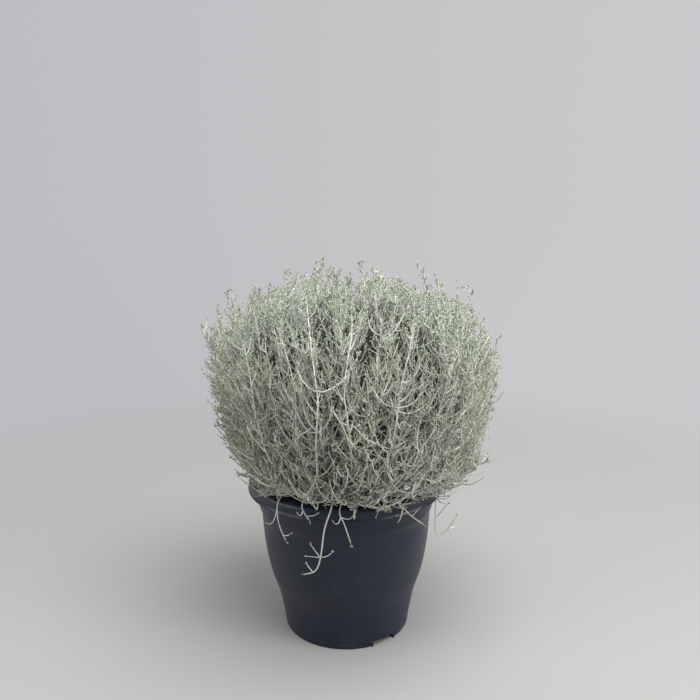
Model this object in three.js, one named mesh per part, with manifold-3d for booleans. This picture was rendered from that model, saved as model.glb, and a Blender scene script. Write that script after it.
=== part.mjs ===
// A cushion bush growing in a round nursery pot. Millimetres, +Z up, the plant's front faces -Y.
// The origin is the middle of the pot's flat foot, on the surface that it stands on.

import * as THREE from "three";
import { mergeVertices } from "three/addons/utils/BufferGeometryUtils.js";
import Module from "manifold-3d";

const wasm = await Module();
wasm.setup();

const UP = new THREE.Vector3(0, 0, 1);
const GAP = 0.3; // air left between two pieces that touch on the real plant

// Pot: a moulded shell with a drum foot, a waist, a bell, a stepped collar and a turned-down lip
const FOOT_RADIUS = 87.8;
const FOOT_BEVEL = 1.6;
const WALL = 1.8;
const FLOOR = 2.4;
const BELL_TOP_Z = 172;
const COLLAR_RADIUS = 121.8;
const COLLAR_BASE_Z = 179;
const LIP_RADIUS = 135.2;
const LIP_SKIRT_Z = 203;
const RIM_Z = 220;
const MOUTH_RADIUS = 118.5;
const POT_FACETS = 30;
const WALL_STEPS = 6;

// Drain pockets: two low arches in the foot, each with a hole in its roof
const POCKETS = 2;
const POCKET_TURN = 34.5; // degrees from -Y towards +X
const POCKET_WIDTH = 34;
const POCKET_HEIGHT = 7.6;
const POCKET_DEPTH = 26;
const POCKET_SHELL = 2;
const DRAIN_RADIUS = 4.5;
const DRAIN_FACETS = 12;

// Potting soil
const SOIL_Z = 195;
const SOIL_RELIEF = 2.2;
const SOIL_CLEARANCE = 1;
const SOIL_FACETS = 24;
const SOIL_RINGS = [0.78, 0.52, 0.28]; // where the uneven surface bends, as shares of the mouth's radius

// Woody crown: a short trunk set in a plain hole in the soil, with a bough for each spray
const TRUNK_ROOT_Z = 150;
const TRUNK_TOP_Z = 232;
const TRUNK_RADIUS = 8.5;
const TRUNK_TOP_RADIUS = 5;
const BOUGH_RADIUS = 3.4;
const BOUGH_TIP_RADIUS = 2.7;
const TRUNK_SIDES = 8;
const CROWN_RADIUS = 58; // how far the boughs reach from the heart of the plant
const LOWEST_BOUGH_Z = SOIL_Z + 10;
const HIGHEST_BOUGH_Z = TRUNK_TOP_Z - 6;
const HEART = new THREE.Vector3(0, 0, 200);

// The outline of the whole bush: widest high up, with full shoulders and drawn in towards the pot,
// and a little to the right of the pot's axis
const DOME_CENTRE = new THREE.Vector3(10, 0, 362);
const DOME_RADIUS = 209;
const DOME_RISE = 148;
const DOME_DROP = 205;
const SHOULDER_FULLNESS = 2.7; // 2 is an ellipsoid, more is fuller
const SKIRT_FULLNESS = 2;
const FAR = 500; // past the outline in every direction
const HALVINGS = 24;

// Sprays in rings, each with its own share of the directions round the heart
const RINGS = [
  { name: "skirt", count: 9, elevation: 15, turn: -8, bough: 0.08, colour: 0xb7bfae },
  { name: "side", count: 9, elevation: 40, turn: 13, bough: 0.25, colour: 0xaab49e },
  { name: "shoulder", count: 6, elevation: 64, turn: 3, bough: 0.6, colour: 0xa1ac93 },
  { name: "top", count: 1, elevation: 90, turn: 0, bough: 0.9, colour: 0x9aa58b },
];
const ARMS = 6; // long twigs on each limb
const SIDE_TWIGS = 3; // short twigs on each arm
const LIMB_RADII = [BOUGH_TIP_RADIUS, 2, 1.9, 0];
const LIMB_STOPS = [0, 0.5, 0.9, 1];
const ARM_RADII = [0, 1.6, 1.5, 0]; // a stem is thin where it leaves its parent
const ARM_STOPS = [0, 0.3, 0.8, 1];
const TWIG_RADII = [0, 1.4, 0];
const TWIG_STOPS = [0, 0.6, 1];
const TWIG_LENGTH = [24, 50];
const STEM_SIDES = 3;
const FRAME_STEPS = 40; // fine steps along a curve, of which a stem uses a few
const LIMB_SHARE = 0.985; // of the way to the outline
const ARM_ROOTS = [0.25, 0.5]; // where arms leave their limb
const ARM_BENDS = [0.78, 1]; // how far out an arm bends, as a share of the way to the outline
const ARM_TIPS = [0.93, 0.995];
const ARM_SPREAD = 1.1;
const ARM_DRAWS = 60;
const TWIG_ROOTS = [0.4, 0.92]; // where side twigs leave their arm
const TWIG_DRAWS = 40;
const FIT_STEPS = 12; // points of a stem that are tested against its surroundings
const SPACING_STEPS = 10;
const ROOT_SHARE = 0.3; // the stretch of a stem that may lie close to the stems round its root
const SPRAY_CLEARANCE = 0.5; // kept by every twig from the edge of its spray's share
const TWIG_SPACING = 4; // kept by every twig from the stems that it doesn't grow on
const CORE_START = 0.3; // the inner mass of twigs, as shares of the way out to the outline
const CORE_END = 0.65;
const CORE_WIDTH = 62;
const CORE_CLEARANCE = 1.5;
const CORE_SHRINK = 0.96; // a corner that lies outside its share moves in by this factor until it fits

// Sprigs that trail over the lip, by hand: a route and its side twigs, each from a share of the route
const SPRIGS = [
  {
    spray: "spray_skirt_9",
    route: [[-66, -76, 230], [-80, -100, 227], [-86, -113, 217], [-84, -114, 193], [-75, -118, 171]],
    twigs: [[0.55, [-92, -106, 184], [-102, -97, 188]], [0.88, [-74, -120, 180], [-70, -121, 184]]],
  },
  {
    spray: "spray_skirt_1",
    route: [[-40, -92, 236], [-49, -118, 233], [-54, -129, 222], [-44, -135, 206]],
    twigs: [[0.72, [-56, -131, 208], [-60, -128, 215]], [0.85, [-40, -136, 213], [-34, -137, 218]]],
  },
  {
    spray: "spray_skirt_1",
    route: [
      [-10, -100, 236], [-15, -126, 233], [-19, -140, 222], [-27, -138, 196], [-32, -137, 160],
      [-39, -135, 141], [-53, -130, 134],
    ],
    twigs: [
      [0.66, [-42, -135, 160], [-51, -131, 159]],
      [0.66, [-40, -136, 170], [-44, -134, 176]],
      [0.66, [-22, -139, 161], [-17, -140, 169]],
      [0.86, [-48, -133, 146], [-50, -131, 150]],
    ],
  },
  {
    spray: "spray_skirt_1",
    route: [[4, -100, 238], [-3, -128, 233], [-8, -141, 221], [-2, -141, 204], [6, -141, 178]],
    twigs: [[0.62, [-10, -140, 200], [-16, -139, 208]], [0.6, [6, -141, 206], [12, -140, 222]]],
  },
  {
    spray: "spray_skirt_2",
    route: [[44, -88, 240], [56, -114, 237], [66, -127, 227], [78, -119, 208], [101, -100, 183]],
    twigs: [[0.6, [68, -126, 206], [64, -125, 200]], [0.78, [86, -113, 206], [91, -109, 210]]],
  },
  {
    spray: "spray_skirt_3",
    route: [
      [96, -52, 236], [110, -66, 231], [117, -78, 222], [116, -80, 190], [118, -80, 162],
      [132, -76, 165], [146, -70, 184],
    ],
    twigs: [[0.55, [128, -78, 196], [134, -76, 204]], [0.86, [142, -70, 166], [148, -66, 168]]],
  },
];
const SPRIG_RADIUS = 1.5;
const SPRIG_ROOT = 0.16; // where sprigs leave their limb

/** A repeatable stream of numbers from 0 to 1. */
function seeded(seed) {
  let state = seed;
  return () => {
    state = (state + 0x6d2b79f5) | 0;
    let mixed = Math.imul(state ^ (state >>> 15), 1 | state);
    mixed = (mixed + Math.imul(mixed ^ (mixed >>> 7), 61 | mixed)) ^ mixed;
    return ((mixed ^ (mixed >>> 14)) >>> 0) / 4294967296;
  };
}

/** A number drawn from a span. */
function between(random, [low, high]) {
  return low + (high - low) * random();
}

/** A closed geometry as a solid that can be joined and cut. */
function solidFrom(geometry) {
  const plain = geometry.clone();
  plain.deleteAttribute("normal");
  plain.deleteAttribute("uv");
  const merged = mergeVertices(plain, 1e-4);
  return new wasm.Manifold(
    new wasm.Mesh({
      numProp: 3,
      vertProperties: new Float32Array(merged.getAttribute("position").array),
      triVerts: new Uint32Array(merged.index.array),
    }),
  );
}

/** The outer body of a joined solid, without scraps or sealed pockets. */
function mainBody(solid) {
  return solid.decompose().reduce((a, b) => (b.volume() > a.volume() ? b : a));
}

/** A named mesh with its own material, from a solid. */
function meshFrom(name, solid, material) {
  const made = solid.getMesh();
  const geometry = new THREE.BufferGeometry();
  geometry.setAttribute("position", new THREE.BufferAttribute(new Float32Array(made.vertProperties), 3));
  geometry.setIndex(new THREE.BufferAttribute(new Uint32Array(made.triVerts), 1));
  geometry.computeVertexNormals();
  const mesh = new THREE.Mesh(geometry, material);
  mesh.name = name;
  return mesh;
}

/** A body of revolution about Z, from an outline of [radius, z] points. */
function turned(outline, facets) {
  const points = outline.map(([radius, z]) => new THREE.Vector2(radius, z));
  const geometry = new THREE.LatheGeometry(points, facets);
  geometry.deleteAttribute("normal");
  geometry.deleteAttribute("uv");
  return mergeVertices(geometry.rotateX(Math.PI / 2), 1e-4);
}

/** The straight shape that a stem is bent from, with the step that each of its heights belongs to. */
function straightStem(radii, sides) {
  const steps = radii.length - 1;
  if (radii[0] === 0 && radii[steps] === 0) {
    const shape = new THREE.SphereGeometry(1, sides, steps);
    const polar = (y) => Math.acos(THREE.MathUtils.clamp(y, -1, 1)) / Math.PI;
    return { shape, stepAt: (y) => Math.round((1 - polar(y)) * steps) };
  }
  const shape = new THREE.CylinderGeometry(radii[steps] > 0 ? 1 : 0, radii[0] > 0 ? 1 : 0, 1, sides, steps);
  return { shape, stepAt: (y) => Math.round((y + 0.5) * steps) };
}

/** A stem with few sides along a curve. Its radii stand at the stops, and an end radius of 0 is a point. */
function stemSolid(curve, radii, stops, sides) {
  const { shape, stepAt } = straightStem(radii, sides);
  const frames = curve.computeFrenetFrames(FRAME_STEPS);
  const position = shape.getAttribute("position");
  const corner = new THREE.Vector3();
  for (let i = 0; i < position.count; i += 1) {
    corner.fromBufferAttribute(position, i);
    const step = stepAt(corner.y);
    const offAxis = Math.hypot(corner.x, corner.z);
    const spread = offAxis > 1e-6 ? radii[step] / offAxis : 0;
    const frame = Math.round(stops[step] * FRAME_STEPS);
    const along = corner.x * spread;
    const across = -corner.z * spread;
    corner.copy(curve.getPointAt(stops[step]));
    corner.addScaledVector(frames.normals[frame], along);
    corner.addScaledVector(frames.binormals[frame], across);
    position.setXYZ(i, corner.x, corner.y, corner.z);
  }
  return solidFrom(shape);
}

/** The wall of the bell and the foot, offset inwards, from the foot up. */
function wallOutline(offset) {
  const curve = new THREE.SplineCurve([
    new THREE.Vector2(FOOT_RADIUS, FOOT_BEVEL),
    new THREE.Vector2(91.4, 25),
    new THREE.Vector2(97.6, 55),
    new THREE.Vector2(107.2, 85),
    new THREE.Vector2(114.4, 124),
    new THREE.Vector2(118, BELL_TOP_Z),
  ]);
  return curve.getPoints(WALL_STEPS).map((p) => [p.x - offset, p.y]);
}

/** The shell's outline: foot, bell, step, collar, turned-down lip, mouth, and down the inside again. */
function potOutline() {
  const outside = wallOutline(0);
  const inside = wallOutline(WALL).filter(([, z]) => z > FLOOR + 1).reverse();
  return [
    [0, 0],
    [FOOT_RADIUS - FOOT_BEVEL, 0],
    ...outside,
    [COLLAR_RADIUS - 0.6, COLLAR_BASE_Z],
    [COLLAR_RADIUS, 214],
    [LIP_RADIUS - 2.6, 214],
    [LIP_RADIUS - 2, LIP_SKIRT_Z],
    [LIP_RADIUS, LIP_SKIRT_Z],
    [LIP_RADIUS - 0.3, 212],
    [LIP_RADIUS - 2.4, 217],
    [LIP_RADIUS - 6, 219.2],
    [MOUTH_RADIUS + 2.4, RIM_Z],
    [MOUTH_RADIUS, RIM_Z - 1.6],
    [MOUTH_RADIUS - 0.2, COLLAR_BASE_Z + 1],
    ...inside,
    [FOOT_RADIUS - WALL - 0.6, FLOOR],
    [0, FLOOR],
  ];
}

/** A block with upright sides under the pot's floor, turned to one of the drain pockets. */
function pocketBlock(turn, grow, roof, outer) {
  const inner = FOOT_RADIUS - POCKET_DEPTH - grow;
  const block = new THREE.BoxGeometry(POCKET_WIDTH + 2 * grow, outer - inner, roof);
  block.translate(0, -(outer + inner) / 2, roof / 2);
  block.rotateZ(turn);
  return solidFrom(block);
}

/** Where the drain pockets stand round the foot, in radians. */
function pocketTurns() {
  const turns = Array.from({ length: POCKETS }, (_, i) => POCKET_TURN + (i * 360) / POCKETS);
  return turns.map(THREE.MathUtils.degToRad);
}

/** A vertical drain hole in the roof of a pocket. */
function drainHole(turn) {
  const hole = new THREE.CylinderGeometry(DRAIN_RADIUS, DRAIN_RADIUS, 4 * POCKET_HEIGHT, DRAIN_FACETS);
  hole.rotateX(Math.PI / 2);
  hole.translate(0, -(FOOT_RADIUS - POCKET_DEPTH / 2), 0);
  hole.rotateZ(turn);
  return solidFrom(hole);
}

function makePot() {
  let pot = solidFrom(turned(potOutline(), POT_FACETS));
  for (const turn of pocketTurns()) {
    const housing = pocketBlock(turn, POCKET_SHELL, POCKET_HEIGHT + POCKET_SHELL, FOOT_RADIUS - WALL);
    const hollow = pocketBlock(turn, 0, POCKET_HEIGHT, FOOT_RADIUS + 6).translate([0, 0, -0.001]);
    pot = pot.add(housing).subtract(hollow).subtract(drainHole(turn));
  }
  const plastic = new THREE.MeshStandardMaterial({ color: 0x2b313d, roughness: 0.55, metalness: 0 });
  return meshFrom("pot", mainBody(pot), plastic);
}

/** The filling: it fits the shell, clears the drain pockets and has one plain hole for the trunk. */
function makeSoil() {
  const random = seeded(7);
  const hole = TRUNK_RADIUS + GAP + 0.2;
  const side = wallOutline(WALL + SOIL_CLEARANCE).filter(([, z]) => z > FLOOR + 1);
  const surface = SOIL_RINGS.map((share) => [MOUTH_RADIUS * share, SOIL_Z]);
  const merged = turned(
    [
      [0, FLOOR + GAP],
      [FOOT_RADIUS - WALL - 0.6 - SOIL_CLEARANCE, FLOOR + GAP],
      ...side,
      [MOUTH_RADIUS - 0.2 - SOIL_CLEARANCE, COLLAR_BASE_Z + 1],
      [MOUTH_RADIUS - 0.2 - SOIL_CLEARANCE, SOIL_Z],
      ...surface,
      [hole, SOIL_Z],
      [hole, TRUNK_ROOT_Z - GAP],
      [0, TRUNK_ROOT_Z - GAP],
    ],
    SOIL_FACETS,
  );
  const position = merged.getAttribute("position");
  for (let i = 0; i < position.count; i += 1) {
    const radius = Math.hypot(position.getX(i), position.getY(i));
    const onTop = Math.abs(position.getZ(i) - SOIL_Z) < 1e-3;
    if (onTop && radius > hole + 1 && radius < MOUTH_RADIUS - 2) {
      position.setZ(i, SOIL_Z + between(random, [-SOIL_RELIEF, SOIL_RELIEF]));
    }
  }
  let soil = solidFrom(merged);
  for (const turn of pocketTurns()) {
    const grown = POCKET_SHELL + GAP;
    soil = soil.subtract(pocketBlock(turn, grown, POCKET_HEIGHT + grown, FOOT_RADIUS + 6));
  }
  const earth = new THREE.MeshStandardMaterial({ color: 0x2c241d, roughness: 0.95, metalness: 0 });
  return meshFrom("potting_soil", mainBody(soil), earth);
}

/** The unit vector at an elevation above the horizon and a turn from -Y towards +X, both in degrees. */
function heading(elevation, turn) {
  const e = THREE.MathUtils.degToRad(elevation);
  const t = THREE.MathUtils.degToRad(turn);
  return new THREE.Vector3(Math.cos(e) * Math.sin(t), -Math.cos(e) * Math.cos(t), Math.sin(e));
}

/** Each spray's name, axis and colour. */
function listSprays() {
  return RINGS.flatMap((ring) =>
    Array.from({ length: ring.count }, (_, i) => ({
      name: ring.count > 1 ? `spray_${ring.name}_${i + 1}` : `spray_${ring.name}`,
      axis: heading(ring.elevation, ring.turn + (i * 360) / ring.count),
      bough: ring.bough,
      colour: ring.colour,
      seed: 100 * ring.elevation + i,
    })),
  );
}

const SPRAYS = listSprays();

/** How far a point lies inside a spray's share, the directions closer to its axis than to any other. */
function roomInShare(point, spray) {
  const from = point.clone().sub(HEART);
  return SPRAYS.reduce((room, other) => {
    if (other === spray) return room;
    const across = spray.axis.clone().sub(other.axis).normalize();
    return Math.min(room, from.dot(across));
  }, Infinity);
}

/** How full the dome is at a point: 1 on its outline, less inside. */
function fullness(point) {
  const p = point.clone().sub(DOME_CENTRE);
  const out = Math.hypot(p.x, p.y) / DOME_RADIUS;
  if (p.z > 0) return out ** SHOULDER_FULLNESS + (p.z / DOME_RISE) ** SHOULDER_FULLNESS;
  return out ** SKIRT_FULLNESS + (-p.z / DOME_DROP) ** SKIRT_FULLNESS;
}

/** The distance from the heart to the outline in a direction. */
function reach(direction) {
  let low = 0;
  let high = FAR;
  for (let i = 0; i < HALVINGS; i += 1) {
    const middle = (low + high) / 2;
    if (fullness(HEART.clone().addScaledVector(direction, middle)) < 1) low = middle;
    else high = middle;
  }
  return low;
}

/** Whether a ball clears the pot's lip and the soil. */
function clearsPot(point, radius) {
  const out = Math.hypot(point.x, point.y);
  if (out > LIP_RADIUS + radius + GAP) return true;
  if (out < MOUTH_RADIUS - 3 - radius) return point.z > SOIL_Z + SOIL_RELIEF + radius + GAP;
  return point.z > RIM_Z + radius + GAP;
}

/** Whether a point lies above the cone that rises from the soil's middle to just over the lip. */
function abovePotFunnel(point) {
  const low = SOIL_Z + 8;
  const slope = (RIM_Z + 3 - low) / LIP_RADIUS;
  return point.z > low + slope * Math.hypot(point.x, point.y);
}

/** Whether a curved stem keeps to its spray's share, clear of the pot, the crown and the outline. */
function fits(curve, thickness, spray) {
  for (let i = 0; i <= FIT_STEPS; i += 1) {
    const p = curve.getPointAt(i / FIT_STEPS);
    if (roomInShare(p, spray) < thickness + SPRAY_CLEARANCE) return false;
    if (p.distanceTo(HEART) < CROWN_RADIUS + thickness + GAP) return false;
    if (!clearsPot(p, thickness)) return false;
    if (fullness(p) > 1) return false;
  }
  return true;
}

/** Evenly spaced points along a curve, from a share of its length to its tip. */
function samples(curve, from) {
  const count = SPACING_STEPS + 1;
  return Array.from({ length: count }, (_, i) => curve.getPointAt(from + ((1 - from) * i) / SPACING_STEPS));
}

/** Whether a new stem, past its root, stays clear of the stems that are there. */
function clearsStems(curve, taken) {
  return samples(curve, ROOT_SHARE).every((p) => taken.every((q) => p.distanceTo(q) > TWIG_SPACING));
}

/** A curve that leaves its root sideways and then bends into the way the plant grows. */
function arching(root, tip, growth, lift) {
  const whole = tip.clone().sub(root);
  const rise = whole.dot(growth);
  const aside = whole.clone().addScaledVector(growth, -rise);
  const bend = root.clone().addScaledVector(aside, 0.72).addScaledVector(growth, rise * lift);
  return new THREE.QuadraticBezierCurve3(root, bend, tip);
}

/** A direction in a spray's share, at random. */
function headingIn(spray, random, spread) {
  const loose = new THREE.Vector3(random() - 0.5, random() - 0.5, random() - 0.5).multiplyScalar(spread);
  return spray.axis.clone().add(loose).normalize();
}

/** Of several drawn curves that fit, the one whose tip is furthest from the tips that are there. */
function bestOf(draws, draw, tips) {
  let best = null;
  let widest = -1;
  for (let i = 0; i < draws; i += 1) {
    const curve = draw();
    if (!curve) continue;
    const tip = curve.getPoint(1);
    const nearest = tips.reduce((least, other) => Math.min(least, other.distanceTo(tip)), 1e3);
    if (nearest > widest) {
      widest = nearest;
      best = curve;
    }
  }
  return best;
}

/** The inner mass of a spray: a small uneven lump round its limb, which the twigs stand out of. */
function coreSolid(spray, random) {
  const out = reach(spray.axis);
  const middle = HEART.clone().addScaledVector(spray.axis, (out * (CORE_START + CORE_END)) / 2);
  const half = (out * (CORE_END - CORE_START)) / 2;
  const turn = new THREE.Quaternion().setFromUnitVectors(UP, spray.axis);
  const lump = new THREE.IcosahedronGeometry(1, 0);
  lump.deleteAttribute("normal");
  lump.deleteAttribute("uv");
  const merged = mergeVertices(lump, 1e-4);
  const position = merged.getAttribute("position");
  const corner = new THREE.Vector3();
  for (let i = 0; i < position.count; i += 1) {
    corner.fromBufferAttribute(position, i);
    corner.multiply(new THREE.Vector3(CORE_WIDTH, CORE_WIDTH, half));
    corner.multiplyScalar(between(random, [0.85, 1.15])).applyQuaternion(turn);
    const place = middle.clone().add(corner);
    while (roomInShare(place, spray) < CORE_CLEARANCE || !abovePotFunnel(place)) {
      corner.multiplyScalar(CORE_SHRINK);
      place.copy(middle).add(corner);
    }
    position.setXYZ(i, place.x, place.y, place.z);
  }
  return solidFrom(merged);
}

/** The central limb of a spray, from its bough out to the outline. */
function limbCurve(spray, random) {
  const start = HEART.clone().addScaledVector(spray.axis, CROWN_RADIUS + GAP);
  const lean = spray.axis.clone().addScaledVector(UP, between(random, [0.05, 0.12])).normalize();
  const end = HEART.clone().addScaledVector(lean, reach(lean) * LIMB_SHARE);
  const bend = start.clone().addScaledVector(spray.axis, start.distanceTo(end) * 0.45);
  return new THREE.QuadraticBezierCurve3(start, bend, end);
}

/** An arm of a spray, drawn at random: out from the limb, low at first, then sweeping up to the outline. */
function drawArm(spray, limb, random, taken) {
  const ways = [headingIn(spray, random, ARM_SPREAD), headingIn(spray, random, ARM_SPREAD)];
  const [low, high] = ways.sort((a, b) => a.z - b.z);
  const root = limb.getPoint(between(random, ARM_ROOTS));
  const bend = HEART.clone().addScaledVector(low, reach(low) * between(random, ARM_BENDS));
  const tip = HEART.clone().addScaledVector(high, reach(high) * between(random, ARM_TIPS));
  const curve = new THREE.QuadraticBezierCurve3(root, bend, tip);
  return fits(curve, Math.max(...ARM_RADII), spray) && clearsStems(curve, taken) ? curve : null;
}

/** A side twig, drawn at random: it leaves its arm at a wide angle and turns up. */
function drawTwig(spray, arm, random, taken) {
  const place = between(random, TWIG_ROOTS);
  const root = arm.getPoint(place);
  const tangent = arm.getTangent(place);
  const aside = new THREE.Vector3(random() - 0.5, random() - 0.5, random() - 0.5).cross(tangent).normalize();
  const outwards = root.clone().sub(HEART).normalize();
  const length = between(random, TWIG_LENGTH);
  const growth = outwards.multiplyScalar(0.4).addScaledVector(UP, 0.8).normalize();
  const tip = root.clone().addScaledVector(aside, length * 0.76).addScaledVector(growth, length * 0.56);
  const curve = arching(root, tip, growth, 0.15);
  return fits(curve, Math.max(...TWIG_RADII), spray) && clearsStems(curve, taken) ? curve : null;
}

/** The points where a curved stem's straight stretches meet, so that twigs root in its wood. */
function chordCurve(curve, stops) {
  const path = new THREE.CurvePath();
  for (let i = 1; i < stops.length; i += 1) {
    path.add(new THREE.LineCurve3(curve.getPointAt(stops[i - 1]), curve.getPointAt(stops[i])));
  }
  return path;
}

/** One trailing sprig with its side twigs, as a list of solids. */
function sprigSolids(sprig) {
  const points = sprig.route.map(([x, y, z]) => new THREE.Vector3(x, y, z));
  const route = new THREE.CatmullRomCurve3(points);
  const steps = points.length + 1;
  const stops = Array.from({ length: steps + 1 }, (_, i) => i / steps);
  const radii = stops.map((stop) => (stop < 1 ? SPRIG_RADIUS * (1 - 0.25 * stop) : 0));
  const line = chordCurve(route, stops);
  const solids = [stemSolid(route, radii, stops, STEM_SIDES)];
  for (const [share, ...ends] of sprig.twigs) {
    const [bend, tip] = ends.map(([x, y, z]) => new THREE.Vector3(x, y, z));
    const curve = new THREE.QuadraticBezierCurve3(line.getPoint(share), bend, tip);
    solids.push(stemSolid(curve, TWIG_RADII, TWIG_STOPS, STEM_SIDES));
  }
  return solids;
}

/** A trailing sprig's first stretch, from its limb to the start of its route. */
function sprigRoot(sprig, limb) {
  const [first, second] = sprig.route.map(([x, y, z]) => new THREE.Vector3(x, y, z));
  const root = limb.getPoint(SPRIG_ROOT);
  const bend = first.clone().multiplyScalar(2).sub(second);
  bend.lerp(root, 0.4);
  const end = first.clone().lerp(second, 0.12);
  const curve = new THREE.QuadraticBezierCurve3(root, bend, end);
  const radii = [1.14, 1.07, 1.03].map((share) => share * SPRIG_RADIUS);
  return stemSolid(curve, radii, [0, 0.5, 1], STEM_SIDES);
}

/** One spray: limb, core, arms, side twigs and any trailing sprigs, joined in one body. */
function makeSpray(spray) {
  const random = seeded(spray.seed);
  const limbWay = limbCurve(spray, random);
  const limb = chordCurve(limbWay, LIMB_STOPS);
  const solids = [stemSolid(limbWay, LIMB_RADII, LIMB_STOPS, STEM_SIDES), coreSolid(spray, random)];
  const tips = [limbWay.getPoint(1)];
  const taken = samples(limbWay, 0);
  const arms = [limb];
  const grow = (way, radii, stops) => {
    tips.push(way.getPoint(1));
    taken.push(...samples(way, 0));
    solids.push(stemSolid(way, radii, stops, STEM_SIDES));
  };
  for (let i = 0; i < ARMS; i += 1) {
    const way = bestOf(ARM_DRAWS, () => drawArm(spray, limb, random, taken), tips);
    if (!way) continue;
    grow(way, ARM_RADII, ARM_STOPS);
    arms.push(chordCurve(way, ARM_STOPS));
  }
  for (const arm of arms) {
    for (let i = 0; i < SIDE_TWIGS; i += 1) {
      const way = bestOf(TWIG_DRAWS, () => drawTwig(spray, arm, random, taken), tips);
      if (way) grow(way, TWIG_RADII, TWIG_STOPS);
    }
  }
  for (const sprig of SPRIGS.filter((one) => one.spray === spray.name)) {
    solids.push(...sprigSolids(sprig), sprigRoot(sprig, limb));
  }
  const joined = solids.reduce((whole, piece) => whole.add(piece));
  const felt = new THREE.MeshStandardMaterial({ color: spray.colour, roughness: 0.9, metalness: 0 });
  return meshFrom(spray.name, mainBody(joined), felt);
}

/** The woody crown: the trunk in its hole and a bough out to the foot of each spray. */
function makeCrown() {
  const trunkLine = new THREE.LineCurve3(
    new THREE.Vector3(0, 0, TRUNK_ROOT_Z),
    new THREE.Vector3(0, 0, TRUNK_TOP_Z),
  );
  const trunkRadii = [TRUNK_RADIUS, TRUNK_RADIUS, TRUNK_TOP_RADIUS];
  let crown = stemSolid(trunkLine, trunkRadii, [0, 0.6, 1], TRUNK_SIDES);
  for (const spray of SPRAYS) {
    const root = new THREE.Vector3(0, 0, THREE.MathUtils.lerp(LOWEST_BOUGH_Z, HIGHEST_BOUGH_Z, spray.bough));
    const end = HEART.clone().addScaledVector(spray.axis, CROWN_RADIUS);
    const bend = end.clone().addScaledVector(spray.axis, -0.55 * CROWN_RADIUS);
    const bough = new THREE.QuadraticBezierCurve3(root, bend, end);
    crown = crown.add(stemSolid(bough, [0, BOUGH_RADIUS, BOUGH_TIP_RADIUS], [0, 0.35, 1], STEM_SIDES));
  }
  const bark = new THREE.MeshStandardMaterial({ color: 0x8b7862, roughness: 0.85, metalness: 0 });
  return meshFrom("woody_crown", mainBody(crown), bark);
}

const bush = new THREE.Group();
bush.add(makePot(), makeSoil(), makeCrown(), ...SPRAYS.map(makeSpray));

export default bush;
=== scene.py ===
"""A cushion bush in its nursery pot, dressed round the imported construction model.

Metres, +Z up. The plant's front faces -Y, and the origin is the middle of the pot's foot.
"""

import logging
import math
from dataclasses import dataclass, field
from enum import Enum

import bmesh
import bpy
import numpy as np
from mathutils import Matrix, Vector, noise


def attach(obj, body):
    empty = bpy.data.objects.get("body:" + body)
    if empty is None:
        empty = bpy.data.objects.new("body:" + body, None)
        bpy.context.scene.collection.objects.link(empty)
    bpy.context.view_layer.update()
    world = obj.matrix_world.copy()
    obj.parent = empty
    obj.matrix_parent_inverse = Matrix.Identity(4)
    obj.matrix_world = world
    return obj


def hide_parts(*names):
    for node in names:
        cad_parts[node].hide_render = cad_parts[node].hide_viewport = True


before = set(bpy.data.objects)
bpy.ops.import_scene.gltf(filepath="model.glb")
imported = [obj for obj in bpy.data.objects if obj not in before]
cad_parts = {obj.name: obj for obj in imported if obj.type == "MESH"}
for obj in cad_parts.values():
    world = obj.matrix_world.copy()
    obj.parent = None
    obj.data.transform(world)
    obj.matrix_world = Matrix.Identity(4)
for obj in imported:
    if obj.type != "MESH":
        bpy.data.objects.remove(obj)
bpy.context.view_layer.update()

log = logging.getLogger("bush")

BODY = "root"
UP = np.array((0.0, 0.0, 1.0))
AIR = 0.0003  # left between two pieces that touch on the real plant
# green also sets how much painted shade a stem takes deep inside the bush
LOOK_LAYER = "stem_look"  # red is age, green is depth inside the bush, blue is chance
GOLDEN_ANGLE = math.radians(137.5)
MIX_INPUTS = (0, 6, 7)  # the colour mix node's share, first and second colour
MIX_OUTPUT = 2
BLACK = (0.0, 0.0, 0.0)
WALL_STEPS = 5  # steps between two chosen points of a smooth route
SPRIG_STEPS = 5
OLD_STEM_STEPS = 6
FACE_STEPS = 8

Rows = np.ndarray  # points, stems or numbers in rows
Draw = np.random.Generator
Node = bpy.types.Node
Socket = bpy.types.NodeSocket
Tree = bpy.types.NodeTree
Material = bpy.types.Material
Point = tuple[float, float, float]
Colour = tuple[float, float, float]
Span = tuple[float, float]


class Slot(Enum):
    """The record's material slots."""

    PLASTIC = "pot_plastic"
    SOIL = "soil"
    BARK = "bark"
    LOWER_FELT = "lower_felt"
    UPPER_FELT = "upper_felt"


class Operation(Enum):
    """What a cutter does to the piece that it is used on."""

    JOIN = "UNION"
    CUT = "DIFFERENCE"


# Small sums on rows of points


def unit(ways: Rows) -> Rows:
    """The same directions, each of length one."""
    return ways / np.maximum(np.linalg.norm(ways, axis=-1, keepdims=True), 1e-12)


def spread(rng: Draw, span: Span, shape: int | tuple[int, ...]) -> Rows:
    """Even random numbers in a span."""
    return rng.uniform(span[0], span[1], shape)


def ramp(span: Span, share: Rows) -> Rows:
    """The values that lie a share of the way from one end of a span to the other."""
    return span[0] + (span[1] - span[0]) * share


def heading(elevation: float, turn: float) -> Rows:
    """The unit vector so many degrees above the horizon and turned so many from -Y towards +X."""
    e, t = math.radians(elevation), math.radians(turn)
    return np.array((math.cos(e) * math.sin(t), -math.cos(e) * math.cos(t), math.sin(e)))


def stations(rings: int, root: float = 0.05, tip: float = 0.05) -> Rows:
    """Where a stem's rings stand: evenly between the first that is full and the last that is.

    Args:
        rings: How many rings, both pointed ends among them.
        root: The share of the length in which the stem reaches its full girth.
        tip: The share of the length in which it tapers to its end.

    Returns:
        The shares of the length, from 0 to 1.
    """
    return np.concatenate(([0.0], np.linspace(root, 1 - tip, rings - 2), [1.0]))


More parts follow.
